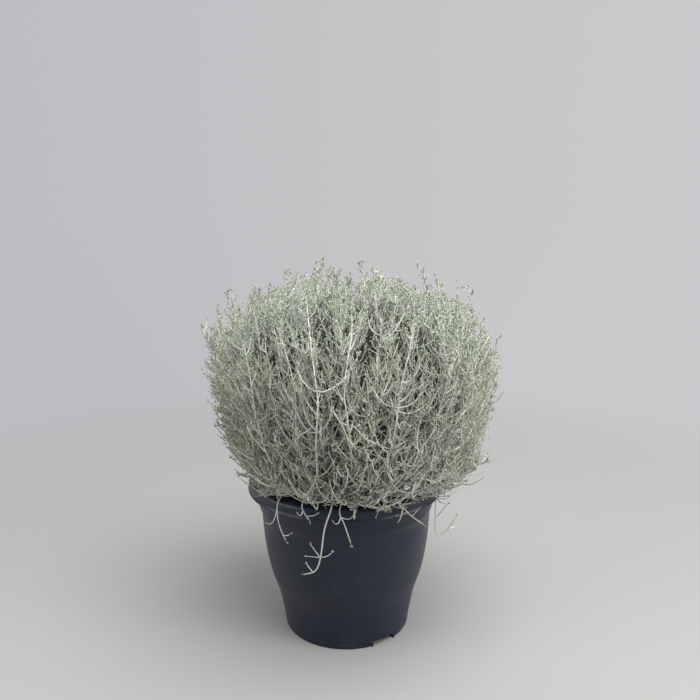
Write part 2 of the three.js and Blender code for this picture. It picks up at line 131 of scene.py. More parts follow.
def bezier(start: Rows, bend: Rows, end: Rows, shares: Rows) -> Rows:
    """Points on quadratic curves, one for each row: an array of curves by shares by three."""
    s = shares[None, :, None]
    return start[:, None] * (1 - s) ** 2 + 2 * bend[:, None] * s * (1 - s) + end[:, None] * s**2


def read_along(routes: Rows, rings: Rows, places: Rows) -> tuple[Rows, Rows]:
    """Points and directions at places on stems.

    Args:
        routes: Stems by points by three.
        rings: The share of the length that each point stands at.
        places: Stems by places, as shares of the length.

    Returns:
        The points and the unit directions, stems by places by three.
    """
    after = np.clip(np.searchsorted(rings, places, side="right"), 1, len(rings) - 1)
    rows = np.arange(len(routes))[:, None]
    low, high = routes[rows, after - 1], routes[rows, after]
    part = (places - rings[after - 1]) / (rings[after] - rings[after - 1])
    return low + (high - low) * part[..., None], unit(high - low)


def swung(ways: Rows, angles: Rows, turns: Rows) -> Rows:
    """Directions at an angle from others.

    Args:
        ways: Unit directions, one row each.
        angles: The angle from each direction, in radians.
        turns: The turn round each direction, in radians.

    Returns:
        The new unit directions.
    """
    helper = np.where(np.abs(ways[:, 2:3]) < 0.9, UP, np.array((1.0, 0.0, 0.0)))
    across = unit(np.cross(ways, helper))
    third = np.cross(ways, across)
    side = across * np.cos(turns)[:, None] + third * np.sin(turns)[:, None]
    return unit(ways * np.cos(angles)[:, None] + side * np.sin(angles)[:, None])


def mm(*points: tuple[int, int, int]) -> Rows:
    """Points that are written in millimetres, in metres."""
    return np.array(points) / 1000


def rounded_route(points: Rows, per_leg: int) -> Rows:
    """A smooth route through given points.

    Args:
        points: The points that it passes.
        per_leg: How many steps each leg gets.

    Returns:
        The points of the smooth route.
    """
    p = np.vstack((2 * points[0] - points[1], points, 2 * points[-1] - points[-2]))
    made = []
    for a, b, c, d in zip(p, p[1:], p[2:], p[3:]):
        for s in np.arange(per_leg) / per_leg:
            made.append(0.5 * (2 * b + (c - a) * s + (2 * a - 5 * b + 4 * c - d) * s**2
                               + (3 * b - a - 3 * c + d) * s**3))
    made.append(p[-2])
    return np.array(made)


# Making meshes and objects


def link_piece(name: str, mesh: bpy.types.Mesh) -> bpy.types.Object:
    """An object at the origin that shows a mesh."""
    piece = bpy.data.objects.new(name, mesh)
    bpy.context.scene.collection.objects.link(piece)
    return piece


def mesh_from(name: str, bm: bmesh.types.BMesh, sharp_angle: float | None = None) -> bpy.types.Mesh:
    """Turns a bmesh into a smooth-shaded mesh and frees it.

    Args:
        name: The mesh's name.
        bm: The finished bmesh.
        sharp_angle: Edges bent by more than this many degrees stay sharp, or None for none.

    Returns:
        The mesh.
    """
    mesh = bpy.data.meshes.new(name)
    bm.to_mesh(mesh)
    bm.free()
    mesh.shade_smooth()
    if sharp_angle is not None:
        mesh.set_sharp_from_angle(angle=math.radians(sharp_angle))
    return mesh


def spun(outline: list[Vector], steps: int) -> bmesh.types.BMesh:
    """A body of revolution about Z.

    Args:
        outline: Points in the XZ plane, from the axis round to the axis or closed on itself.
        steps: Facets of the full turn.

    Returns:
        A closed bmesh with its faces outwards.
    """
    bm = bmesh.new()
    verts = [bm.verts.new(point) for point in outline]
    edges = [bm.edges.new(pair) for pair in zip(verts, verts[1:])]
    if outline[0].x > 0:
        edges.append(bm.edges.new((verts[-1], verts[0])))
    bmesh.ops.spin(bm, geom=verts + edges, cent=(0, 0, 0), axis=(0, 0, 1), angle=2 * math.pi,
                   steps=steps, use_merge=True)
    bmesh.ops.remove_doubles(bm, verts=bm.verts[:], dist=1e-6)
    bmesh.ops.recalc_face_normals(bm, faces=bm.faces[:])
    return bm


def filleted(corners: list[Point], steps: int = 5) -> list[Vector]:
    """An outline with rounded corners.

    Args:
        corners: Radius, height and fillet radius of each corner.
        steps: Segments of each round corner.

    Returns:
        Points in the XZ plane.
    """
    made = []
    for i, (radius, height, fillet) in enumerate(corners):
        here = Vector((radius, 0, height))
        if fillet == 0 or i in (0, len(corners) - 1):
            made.append(here)
            continue
        back = Vector((corners[i - 1][0], 0, corners[i - 1][1])) - here
        on = Vector((corners[i + 1][0], 0, corners[i + 1][1])) - here
        reach = min(fillet / math.tan(back.angle(on) / 2), back.length * 0.49, on.length * 0.49)
        first, last = here + back.normalized() * reach, here + on.normalized() * reach
        for step in range(steps + 1):
            s = step / steps
            made.append(first * (1 - s) ** 2 + here * 2 * s * (1 - s) + last * s**2)
    return made


def shaped(piece: bpy.types.Object, tools: list[tuple[Operation, bpy.types.Object]]) -> bpy.types.Mesh:
    """A piece's mesh after cutters have been used on it. The cutters and the piece's object are removed.

    Args:
        piece: The object to cut.
        tools: What to do and with which cutter, in order.

    Returns:
        The finished mesh.
    """
    for operation, cutter in tools:
        boolean = piece.modifiers.new(operation.name, "BOOLEAN")
        boolean.operation = operation.value
        boolean.solver = "EXACT"
        boolean.object = cutter
    graph = bpy.context.evaluated_depsgraph_get()
    mesh = bpy.data.meshes.new_from_object(piece.evaluated_get(graph))
    for thing in [piece] + [cutter for _, cutter in tools]:
        bpy.data.objects.remove(thing)
    return mesh


def finish_piece(piece: bpy.types.Object, slot: Slot, material: Material, nodes: list[str]) -> None:
    """Dresses a piece and says where it belongs.

    Args:
        piece: The finished object.
        slot: The record's material slot.
        material: Its finish.
        nodes: The construction nodes that it stands for.
    """
    piece.data.materials.clear()
    piece.data.materials.append(material)
    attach(piece, BODY)
    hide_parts(*nodes)
    triangles = len(piece.data.loops) - 2 * len(piece.data.polygons)
    log.info("%s: %d triangles, slot %s, replaces %s", piece.name, triangles, slot.value, nodes)


class StemBundle:
    """Stems gathered for one piece and swept to a mesh together."""

    def __init__(self, name: str) -> None:
        """Starts an empty bundle for the piece of that name."""
        self.name = name
        self.blocks: dict[int, list[tuple[Rows, Rows, Rows]]] = {}

    def add(self, sides: int, routes: Rows, girths: Rows, looks: Rows) -> None:
        """Adds stems: routes and girths in metres, and looks of age, depth and chance from 0 to 1."""
        self.blocks.setdefault(sides, []).append((routes, girths, looks))

    def _section(self, sides: int) -> bpy.types.Object:
        """A regular polygon of radius one, which the stems are swept with."""
        curve = bpy.data.curves.new("section", "CURVE")
        curve.dimensions = "3D"
        spline = curve.splines.new("POLY")
        spline.points.add(sides - 1)
        spline.use_cyclic_u = True
        for point, turn in zip(spline.points, np.arange(sides) * 2 * math.pi / sides):
            point.co = (math.cos(turn), math.sin(turn), 0, 1)
        return link_piece("section", curve)

    def _swept(self, sides: int) -> bpy.types.Mesh:
        """Sweeps the stems with one number of sides.

        Args:
            sides: Sides of each stem.

        Returns:
            Their open tubes, with the colour layer that the finishes read.
        """
        section = self._section(sides)
        curve = bpy.data.curves.new(self.name, "CURVE")
        curve.dimensions = "3D"
        curve.bevel_mode = "OBJECT"
        curve.bevel_object = section
        for routes, girths, _ in self.blocks[sides]:
            places = np.concatenate((routes, np.ones(routes.shape[:2] + (1,))), axis=2)
            for place, girth in zip(places, girths):
                spline = curve.splines.new("POLY")
                spline.points.add(len(place) - 1)
                spline.points.foreach_set("co", place.ravel())
                spline.points.foreach_set("radius", girth)
        holder = link_piece(self.name, curve)
        graph = bpy.context.evaluated_depsgraph_get()
        mesh = bpy.data.meshes.new_from_object(holder.evaluated_get(graph))
        for thing in (holder, section):
            data = thing.data
            bpy.data.objects.remove(thing)
            bpy.data.curves.remove(data)
        looks = np.concatenate([look.reshape(-1, 3) for _, _, look in self.blocks[sides]])
        colours = np.column_stack((looks, np.ones(len(looks))))
        layer = mesh.attributes.new(LOOK_LAYER, "FLOAT_COLOR", "POINT")
        layer.data.foreach_set("color", np.repeat(colours, sides, axis=0).ravel())
        return mesh

    def sweep(self) -> bpy.types.Object:
        """Sweeps every stem and closes its ends.

        Returns:
            One object with a closed, smooth mesh.
        """
        bm = bmesh.new()
        for sides in self.blocks:
            tubes = self._swept(sides)
            bm.from_mesh(tubes)
            bpy.data.meshes.remove(tubes)
        bmesh.ops.remove_doubles(bm, verts=bm.verts[:], dist=1e-7)
        bmesh.ops.recalc_face_normals(bm, faces=bm.faces[:])
        return link_piece(self.name, mesh_from(self.name, bm))


# Shader parts that several finishes share


class NodeSheet:
    """A hand for adding and linking the nodes of one tree."""

    def __init__(self, tree: Tree) -> None:
        """Starts on a material's or a group's node tree."""
        self.tree = tree

    def add(self, kind: str, **settings: object) -> Node:
        """Adds a node.

        Args:
            kind: The node's type name.
            settings: Properties to set on it.

        Returns:
            The node.
        """
        node = self.tree.nodes.new(kind)
        for name, value in settings.items():
            setattr(node, name, value)
        return node

    def set(self, socket: Socket, value: object) -> None:
        """Links a socket to an input, or gives it a value of its own."""
        if isinstance(value, Socket):
            self.tree.links.new(value, socket)
        else:
            socket.default_value = value

    def feed(self, node: Node, **inputs: object) -> Node:
        """Sets or links a node's inputs, named with _ for a space.

        Args:
            node: The node.
            inputs: A socket to link, or a value to set, for each input.

        Returns:
            The same node.
        """
        for name, value in inputs.items():
            self.set(node.inputs[name.replace("_", " ")], value)
        return node

    def mix(self, share: object, first: object, second: object, blend: str = "MIX") -> Socket:
        """Mixes two colours.

        Args:
            share: How much of the second, as a socket or a number.
            first: The first colour, as a socket or four numbers.
            second: The second colour.
            blend: The blend mode.

        Returns:
            The mixed colour's socket.
        """
        node = self.add("ShaderNodeMix", data_type="RGBA", blend_type=blend)
        for index, value in zip(MIX_INPUTS, (share, first, second)):
            self.set(node.inputs[index], value)
        return node.outputs[MIX_OUTPUT]

    def sum(self, operation: str, *terms: object) -> Socket:
        """One step of arithmetic.

        Args:
            operation: The math node's operation.
            terms: Its sockets or numbers.

        Returns:
            The result's socket.
        """
        node = self.add("ShaderNodeMath", operation=operation)
        for socket, value in zip(node.inputs, terms):
            self.set(socket, value)
        return node.outputs[0]

    def band(self, value: Socket, low: float, high: float) -> Socket:
        """A mask that rises smoothly from 0 to 1 between two values.

        Args:
            value: What is measured.
            low: Where the mask starts.
            high: Where it is full.

        Returns:
            The mask's socket.
        """
        node = self.add("ShaderNodeMapRange", interpolation_type="SMOOTHSTEP")
        self.feed(node, Value=value, From_Min=low, From_Max=high)
        return node.outputs["Result"]


def opaque(colour: Colour) -> tuple[float, float, float, float]:
    """A colour with full alpha."""
    return (*colour, 1.0)


@dataclass(frozen=True)
class Patches:
    """How large uneven patches are, and the noise levels between which they rise."""

    scale: float
    low: float
    high: float


@dataclass(frozen=True)
class Grain:
    """How fine and how deep the relief of a surface is."""

    scale: float
    depth: float
    strength: float


class SharedEffects:
    """The node groups that more than one finish places, each built once."""

    def __init__(self) -> None:
        """Builds the groups."""
        self.patches = self._make_patches()
        self.relief = self._make_relief()
        self.dust = self._make_dust()

    def _new_group(self, name: str, inputs: dict[str, tuple[str, object]], outputs: dict[str, str]
                   ) -> tuple[NodeSheet, Node, Node]:
        """An empty group with named sockets.

        Args:
            name: The group's name.
            inputs: Socket type and first value by name.
            outputs: Socket type by name.

        Returns:
            The sheet, the input node and the output node.
        """
        tree = bpy.data.node_groups.new(name, "ShaderNodeTree")
        for socket_name, (kind, value) in inputs.items():
            socket = tree.interface.new_socket(socket_name, in_out="INPUT", socket_type=kind)
            if value is not None:
                socket.default_value = value
        for socket_name, kind in outputs.items():
            tree.interface.new_socket(socket_name, in_out="OUTPUT", socket_type=kind)
        sheet = NodeSheet(tree)
        return sheet, sheet.add("NodeGroupInput"), sheet.add("NodeGroupOutput")

    def _make_patches(self) -> Tree:
        """Uneven patches over a surface, as a mask."""
        sheet, given, result = self._new_group(
            "Uneven patches",
            {"Vector": ("NodeSocketVector", None), "Scale": ("NodeSocketFloat", 10.0),
             "Low": ("NodeSocketFloat", 0.35), "High": ("NodeSocketFloat", 0.65)},
            {"Mask": "NodeSocketFloat"})
        cloud = sheet.add("ShaderNodeTexNoise")
        sheet.feed(cloud, Vector=given.outputs["Vector"], Scale=given.outputs["Scale"],
                   Detail=4.0, Roughness=0.6)
        edge = sheet.add("ShaderNodeMapRange", interpolation_type="SMOOTHSTEP")
        sheet.feed(edge, Value=cloud.outputs["Fac"], From_Min=given.outputs["Low"],
                   From_Max=given.outputs["High"])
        sheet.feed(result, Mask=edge.outputs["Result"])
        return sheet.tree

    def _make_relief(self) -> Tree:
        """Fine grain of a surface, as a normal."""
        sheet, given, result = self._new_group(
            "Fine relief",
            {"Vector": ("NodeSocketVector", None), "Scale": ("NodeSocketFloat", 900.0),
             "Depth": ("NodeSocketFloat", 0.0002), "Strength": ("NodeSocketFloat", 0.5)},
            {"Normal": "NodeSocketVector"})
        grain = sheet.add("ShaderNodeTexNoise")
        sheet.feed(grain, Vector=given.outputs["Vector"], Scale=given.outputs["Scale"],
                   Detail=3.0, Roughness=0.65)
        bump = sheet.add("ShaderNodeBump")
        sheet.feed(bump, Strength=given.outputs["Strength"], Distance=given.outputs["Depth"],
                   Height=grain.outputs["Fac"])
        sheet.feed(result, Normal=bump.outputs["Normal"])
        return sheet.tree

    def _make_dust(self) -> Tree:
        """Specks and a haze of pale dust over a colour, where a mask lets it lie."""
        sheet, given, result = self._new_group(
            "Settled dust",
            {"Vector": ("NodeSocketVector", None),
             "Colour": ("NodeSocketColor", opaque((0.1, 0.1, 0.1))),
             "Dust": ("NodeSocketColor", opaque((0.4, 0.38, 0.34))), "Haze": ("NodeSocketFloat", 0.2),
             "Specks": ("NodeSocketFloat", 0.5), "Speck Scale": ("NodeSocketFloat", 400.0)},
            {"Colour": "NodeSocketColor", "Cover": "NodeSocketFloat"})
        haze = sheet.add("ShaderNodeTexNoise")
        sheet.feed(haze, Vector=given.outputs["Vector"], Scale=38.0, Detail=5.0, Roughness=0.7)
        specks = sheet.add("ShaderNodeTexVoronoi", feature="F1")
        sheet.feed(specks, Vector=given.outputs["Vector"], Scale=given.outputs["Speck Scale"])
        grains = sheet.sum("SUBTRACT", 1.0, sheet.band(specks.outputs["Distance"], 0.12, 0.3))
        thick = sheet.sum("MULTIPLY", grains, sheet.band(haze.outputs["Fac"], 0.42, 0.6))
        veil = sheet.band(haze.outputs["Fac"], 0.4, 0.75)
        cover = sheet.sum("MAXIMUM", sheet.sum("MULTIPLY", veil, given.outputs["Haze"]),
                          sheet.sum("MULTIPLY", thick, given.outputs["Specks"]))
        sheet.feed(result, Cover=cover,
                   Colour=sheet.mix(cover, given.outputs["Colour"], given.outputs["Dust"]))
        return sheet.tree

    def place(self, sheet: NodeSheet, group: Tree, **inputs: object) -> Node:
        """Puts one of the groups in a material, with inputs named with _ for a space."""
        return sheet.feed(sheet.add("ShaderNodeGroup", node_tree=group), **inputs)

    def mask(self, sheet: NodeSheet, place: Socket, patches: Patches) -> Socket:
        """The mask of some patches."""
        node = self.place(sheet, self.patches, Vector=place, Scale=patches.scale, Low=patches.low,
                          High=patches.high)
        return node.outputs["Mask"]

    def normal(self, sheet: NodeSheet, place: Socket, grain: Grain) -> Socket:
        """The normal of some grain."""
        node = self.place(sheet, self.relief, Vector=place, Scale=grain.scale, Depth=grain.depth,
                          Strength=grain.strength)
        return node.outputs["Normal"]


def new_material(name: str) -> tuple[Material, NodeSheet, Node, Socket]:
    """A material with an empty look.

    Args:
        name: The material's name.

    Returns:
        The material, its sheet, its surface shader and the socket of Object coordinates.
    """
    material = bpy.data.materials.new(name)
    material.use_nodes = True
    sheet = NodeSheet(material.node_tree)
    shader = next(n for n in material.node_tree.nodes if n.type == "BSDF_PRINCIPLED")
    place = sheet.add("ShaderNodeTexCoord").outputs["Object"]
    return material, sheet, shader, place


@dataclass(frozen=True)
class Finish:
    """A material with values of its own."""

    name: str

    def build(self, effects: SharedEffects) -> Material:
        """Builds the material.

        Args:
            effects: The shared node groups.

        Returns:
            The material.
        """
        material, sheet, shader, place = new_material(self.name)
        self.wire(effects, sheet, shader, place)
        return material

    def wire(self, effects: SharedEffects, sheet: NodeSheet, shader: Node, place: Socket) -> None:
        """Links the shader's inputs.

        Args:
            effects: The shared node groups.
            sheet: The material's sheet.
            shader: Its surface shader.
            place: The socket of Object coordinates.
        """
        raise NotImplementedError


@dataclass(frozen=True)
class FeltFinish(Finish):
    """The woolly skin of the twigs: nearly white when grown, grey-green when new, with painted shade deep
    inside the bush.
    """

    grown: Colour
    new: Colour
    # painted shade: the colour that stems take deep inside the bush, where shade falls
    inside: Colour
    warm: Colour
    warm_share: float = 0.3
    warm_patches: Patches = Patches(55.0, 0.42, 0.72)
    flecks: Patches = Patches(620.0, 0.4, 0.62)
    fleck_contrast: float = 0.16
    darkest_stem: float = 0.78
    stem_contrast: float = 0.4
    painted_shade_depths: Span = (0.07, 0.36)
    grain: Grain = Grain(1400.0, 0.00015, 0.5)
    roughness: float = 0.86
    sheen: float = 0.25

    def wire(self, effects: SharedEffects, sheet: NodeSheet, shader: Node, place: Socket) -> None:
        """Mixes the skin from the stems' colour layer, patches and flecks, and darkens stems deep inside
        the bush as painted shade.
        """
        look = sheet.add("ShaderNodeAttribute", attribute_name=LOOK_LAYER)
        parts = sheet.add("ShaderNodeSeparateColor")
        sheet.feed(parts, Color=look.outputs["Color"])
        age, depth, chance = (parts.outputs[n] for n in ("Red", "Green", "Blue"))
        skin = sheet.mix(age, opaque(self.new), opaque(self.grown))
        warmth = sheet.sum("MULTIPLY", effects.mask(sheet, place, self.warm_patches), self.warm_share)
        skin = sheet.mix(warmth, skin, opaque(self.warm))
        dim = sheet.sum("MULTIPLY_ADD", effects.mask(sheet, place, self.flecks), self.fleck_contrast,
                        1 - self.fleck_contrast)
        stem = sheet.sum("ADD", self.darkest_stem, sheet.sum("MULTIPLY", chance, self.stem_contrast))
        worn = sheet.sum("MULTIPLY", dim, stem)
        tint = sheet.add("ShaderNodeCombineColor")
        sheet.feed(tint, Red=worn, Green=worn, Blue=worn)
        skin = sheet.mix(1.0, skin, tint.outputs["Color"], "MULTIPLY")
        # painted shade: stems deeper inside the bush are mixed towards the inside colour
        skin = sheet.mix(sheet.band(depth, *self.painted_shade_depths), skin, opaque(self.inside))
        sheet.feed(shader, Base_Color=skin, Roughness=self.roughness, Sheen_Weight=self.sheen,
                   Sheen_Roughness=0.5, Specular_IOR_Level=0.2,
                   Normal=effects.normal(sheet, place, self.grain))


@dataclass(frozen=True)
class PlasticFinish(Finish):
    """The pot's moulded plastic: dark slate, softly glossy, with a line of dirt at the foot."""

    name: str = "slate pot plastic"
    base: Colour = (0.0036, 0.0078, 0.0195)
    cloudy: Colour = (0.0056, 0.0104, 0.0240)
    clouds: Patches = Patches(9.0, 0.3, 0.75)
    dust: Colour = (0.34, 0.33, 0.31)
    dust_scale: float = 520.0
    rough: Span = (0.33, 0.46)
    foot_line: Span = (0.0045, 0.0062)
    foot_line_top: float = 0.0095
    foot_specks: float = 0.8
    rim: Span = (0.214, 0.221)
    rim_specks: float = 0.2
    rim_haze: float = 0.1
    haze: float = 0.02
    grain: Grain = Grain(1100.0, 0.00006, 0.35)

    def wire(self, effects: SharedEffects, sheet: NodeSheet, shader: Node, place: Socket) -> None:
        """Mixes the skin from clouds, and from dust where its height lets it lie."""
        cloud = effects.mask(sheet, place, self.clouds)
        skin = sheet.mix(cloud, opaque(self.base), opaque(self.cloudy))
        height = sheet.add("ShaderNodeSeparateXYZ")
        sheet.feed(height, Vector=place)
        level = height.outputs["Z"]
        above = sheet.band(level, self.foot_line[1], self.foot_line_top)
        line = sheet.sum("MULTIPLY", sheet.band(level, *self.foot_line), sheet.sum("SUBTRACT", 1.0, above))
        rim = sheet.band(level, *self.rim)
        specks = sheet.sum("ADD", sheet.sum("MULTIPLY", line, self.foot_specks),
                           sheet.sum("MULTIPLY", rim, self.rim_specks))
        film = sheet.sum("ADD", self.haze, sheet.sum("MULTIPLY", rim, self.rim_haze))
        dusty = effects.place(sheet, effects.dust, Vector=place, Colour=skin, Dust=opaque(self.dust),
                              Haze=film, Specks=specks, Speck_Scale=self.dust_scale)
        shine = sheet.add("ShaderNodeMapRange")
        sheet.feed(shine, Value=sheet.sum("ADD", cloud, dusty.outputs["Cover"]),
                   To_Min=self.rough[0], To_Max=self.rough[1])
        sheet.feed(shader, Base_Color=dusty.outputs["Colour"], Roughness=shine.outputs["Result"],
                   IOR=1.5, Specular_IOR_Level=0.42, Normal=effects.normal(sheet, place, self.grain))


@dataclass(frozen=True)
class EarthyFinish(Finish):
    """Soil or bark: a dark and a pale grain, stretched along the piece's axis, with some dust on it."""

    dark: Colour
    pale: Colour
    dust: Colour
    haze: float
    specks: float
    speck_scale: float
    patches: Patches
    grain: Grain
    roughness: float
    stretch: float = 1.0

    def wire(self, effects: SharedEffects, sheet: NodeSheet, shader: Node, place: Socket) -> None:
        """Mixes the two grains and lays the dust on them."""
        mapping = sheet.add("ShaderNodeMapping")
        sheet.feed(mapping, Vector=place, Scale=(1.0, 1.0, self.stretch))
        drawn = mapping.outputs["Vector"]
        skin = sheet.mix(effects.mask(sheet, drawn, self.patches), opaque(self.dark), opaque(self.pale))
        dusty = effects.place(sheet, effects.dust, Vector=place, Colour=skin, Dust=opaque(self.dust),
                              Haze=self.haze, Specks=self.specks, Speck_Scale=self.speck_scale)
        sheet.feed(shader, Base_Color=dusty.outputs["Colour"], Roughness=self.roughness,
                   Specular_IOR_Level=0.25, Normal=effects.normal(sheet, drawn, self.grain))


PLASTIC = PlasticFinish()
SOIL = EarthyFinish(
    "potting soil", dark=(0.012, 0.009, 0.007), pale=(0.050, 0.036, 0.025), dust=(0.16, 0.13, 0.10),
    haze=0.2, specks=0.5, speck_scale=260.0, patches=Patches(240.0, 0.42, 0.66),
    grain=Grain(420.0, 0.0012, 0.9), roughness=0.95)
BARK = EarthyFinish(
    "bush bark", dark=(0.060, 0.042, 0.030), pale=(0.235, 0.185, 0.140), dust=(0.36, 0.34, 0.29),
    haze=0.15, specks=0.35, speck_scale=500.0, patches=Patches(320.0, 0.4, 0.62),
    grain=Grain(420.0, 0.0009, 0.8), roughness=0.9, stretch=0.28)
# inside is each felt's painted shade colour deep within the bush
LOWER_FELT = FeltFinish(
    "lower twig felt", grown=(0.80, 0.80, 0.78), new=(0.365, 0.415, 0.275), inside=(0.04, 0.044, 0.024),
    warm=(0.50, 0.49, 0.31))
UPPER_FELT = FeltFinish(
    "upper twig felt", grown=(0.84, 0.85, 0.83), new=(0.40, 0.455, 0.31), inside=(0.06, 0.068, 0.038),
    warm=(0.50, 0.51, 0.33))


# The pot and what fills it


@dataclass
class Pot:
    """The nursery pot: a moulded shell with a bell, a stepped collar and a turned-down lip."""

    foot_radius: float = 0.0878
    foot_bevel: float = 0.0016
    wall: float = 0.0018
    floor: float = 0.0024
    bell: list[Span] = field(default_factory=lambda: [
        (0.0878, 0.0016), (0.0914, 0.025), (0.0976, 0.055), (0.1072, 0.085), (0.1144, 0.124),
        (0.118, 0.172)])
    collar_radius: float = 0.1218
    collar_height: float = 0.179
    lip_radius: float = 0.1352
    lip_thickness: float = 0.0022
    lip_skirt: float = 0.203
    lip_bead: float = 0.0007
    lip_drop: float = 0.006
    rim_height: float = 0.22
    mouth_radius: float = 0.1185
    mouth_taper: float = 0.0002
    mouth_bottom: float = 0.18
    draft: float = 0.0006
    pockets: int = 2
    pocket_turn: float = 34.5
    pocket_width: float = 0.034
    pocket_height: float = 0.0076
    pocket_depth: float = 0.026
    pocket_shell: float = 0.002
    pocket_rounding: float = 0.3
    pocket_overshoot: float = 0.006
    drain_radius: float = 0.0045
    steps: int = 144
    sharp_angle: float = 38.0

    def wall_line(self, inset: float) -> list[Point]:
        """The corners of the bell's wall from the foot up, moved inwards and with no fillet."""
        route = rounded_route(np.array([(r, 0.0, z) for r, z in self.bell]), WALL_STEPS)
        return [(r - inset, z, 0.0) for r, _, z in route]

    def inside_wall(self, inset: float) -> list[Point]:
        """The corners of a line inside the bell's wall, from just over the pot's floor up."""
        return [corner for corner in self.wall_line(inset) if corner[1] > self.floor + 0.001]

    def pocket_turns(self) -> list[float]:
        """Where the drain pockets are, in radians from -Y."""
        return [math.radians(self.pocket_turn + i * 360 / self.pockets) for i in range(self.pockets)]

    def outline(self) -> list[Vector]:
        """The shell's outline, from the middle of its foot round to the middle of its floor."""
        outside = self.wall_line(0)[1:]
        inside = self.inside_wall(self.wall)[::-1]
        skirt_inside = self.lip_radius - self.lip_thickness
        roof = self.rim_height - self.lip_drop
        bead = self.lip_radius + self.lip_bead
        corners = [
            (0, 0, 0),
            (self.foot_radius, 0, self.foot_bevel),
            *outside,
            (self.collar_radius - self.draft, self.collar_height, 0.0025),
            (self.collar_radius, roof, 0.0015),
            (skirt_inside, roof, 0.0015),
            (skirt_inside + 0.0004, self.lip_skirt, 0.0009),
            (bead, self.lip_skirt, 0.0007),
            (bead, self.lip_skirt + 0.0018, 0.0008),
            (self.lip_radius - self.lip_bead, self.lip_skirt + 0.0042, 0.001),
            (self.lip_radius - self.draft, self.rim_height, 0.007),
            (self.mouth_radius, self.rim_height, 0.0022),
            (self.mouth_radius - self.mouth_taper, self.mouth_bottom, 0.002),
            *inside,
            (self.foot_radius - self.wall - self.draft, self.floor, 0),
            (0, self.floor, 0),
        ]
        return filleted(corners)

    def pocket_blocks(self, name: str, grow: float, roof: float, outer: float) -> bpy.types.Object:
        """Blocks with upright sides in the foot, one at each drain pocket.

        Args:
            name: The object's name.
            grow: How much wider than the pocket on each side.
            roof: Height of the blocks' tops.
            outer: Radius of their outer ends.

        Returns:
            One object with all the blocks.
        """
        inner = self.foot_radius - self.pocket_depth - grow
        bm = bmesh.new()
        for turn in self.pocket_turns():
            block = bmesh.ops.create_cube(bm, size=1.0)["verts"]
            size = (self.pocket_width + 2 * grow, outer - inner, roof + 0.001)
            bmesh.ops.scale(bm, vec=size, verts=block)
            bmesh.ops.translate(bm, vec=(0, -(outer + inner) / 2, (roof - 0.001) / 2), verts=block)
            edges = [e for e in {e for v in block for e in v.link_edges}
                     if all(v.co.z > 0 for v in e.verts) and abs(e.verts[0].co.x - e.verts[1].co.x) < 1e-6]
            rounded = bmesh.ops.bevel(bm, geom=edges, offset=roof * self.pocket_rounding, affect="EDGES",
                                      segments=4, profile=0.5, material=-1)
            whole = list({v for v in block if v.is_valid} | set(rounded["verts"]))
            bmesh.ops.rotate(bm, cent=(0, 0, 0), matrix=Matrix.Rotation(turn, 3, "Z"), verts=whole)
        return link_piece(name, mesh_from(name, bm))

    def drain_holes(self) -> bpy.types.Object:
        """Upright rods where the pockets' roofs are open."""
        bm = bmesh.new()
        for turn in self.pocket_turns():
            place = Matrix.Rotation(turn, 4, "Z") @ Matrix.Translation(
                (0, self.pocket_depth / 2 - self.foot_radius, 0))
            bmesh.ops.create_cone(bm, cap_ends=True, segments=32, radius1=self.drain_radius,
                                  radius2=self.drain_radius, depth=0.03, matrix=place)
        return link_piece("drain", mesh_from("drain", bm))

    def build(self, material: Material) -> None:
        """Builds and dresses the pot.

        Args:
            material: Its finish.
        """
        rough = link_piece("shell", mesh_from("shell", spun(self.outline(), self.steps)))
        housings = self.pocket_blocks("housings", self.pocket_shell, self.pocket_height + self.pocket_shell,
                                      self.foot_radius - self.wall / 2)
        hollows = self.pocket_blocks("hollows", 0, self.pocket_height,
                                     self.foot_radius + self.pocket_overshoot)
        housings.data.transform(Matrix.Translation((0, 0, 0.0011)))
        mesh = shaped(rough, [(Operation.JOIN, housings), (Operation.CUT, hollows),
                              (Operation.CUT, self.drain_holes())])
        mesh.shade_smooth()
        mesh.set_sharp_from_angle(angle=math.radians(self.sharp_angle))
        finish_piece(link_piece("moulded_pot", mesh), Slot.PLASTIC, material, ["pot"])


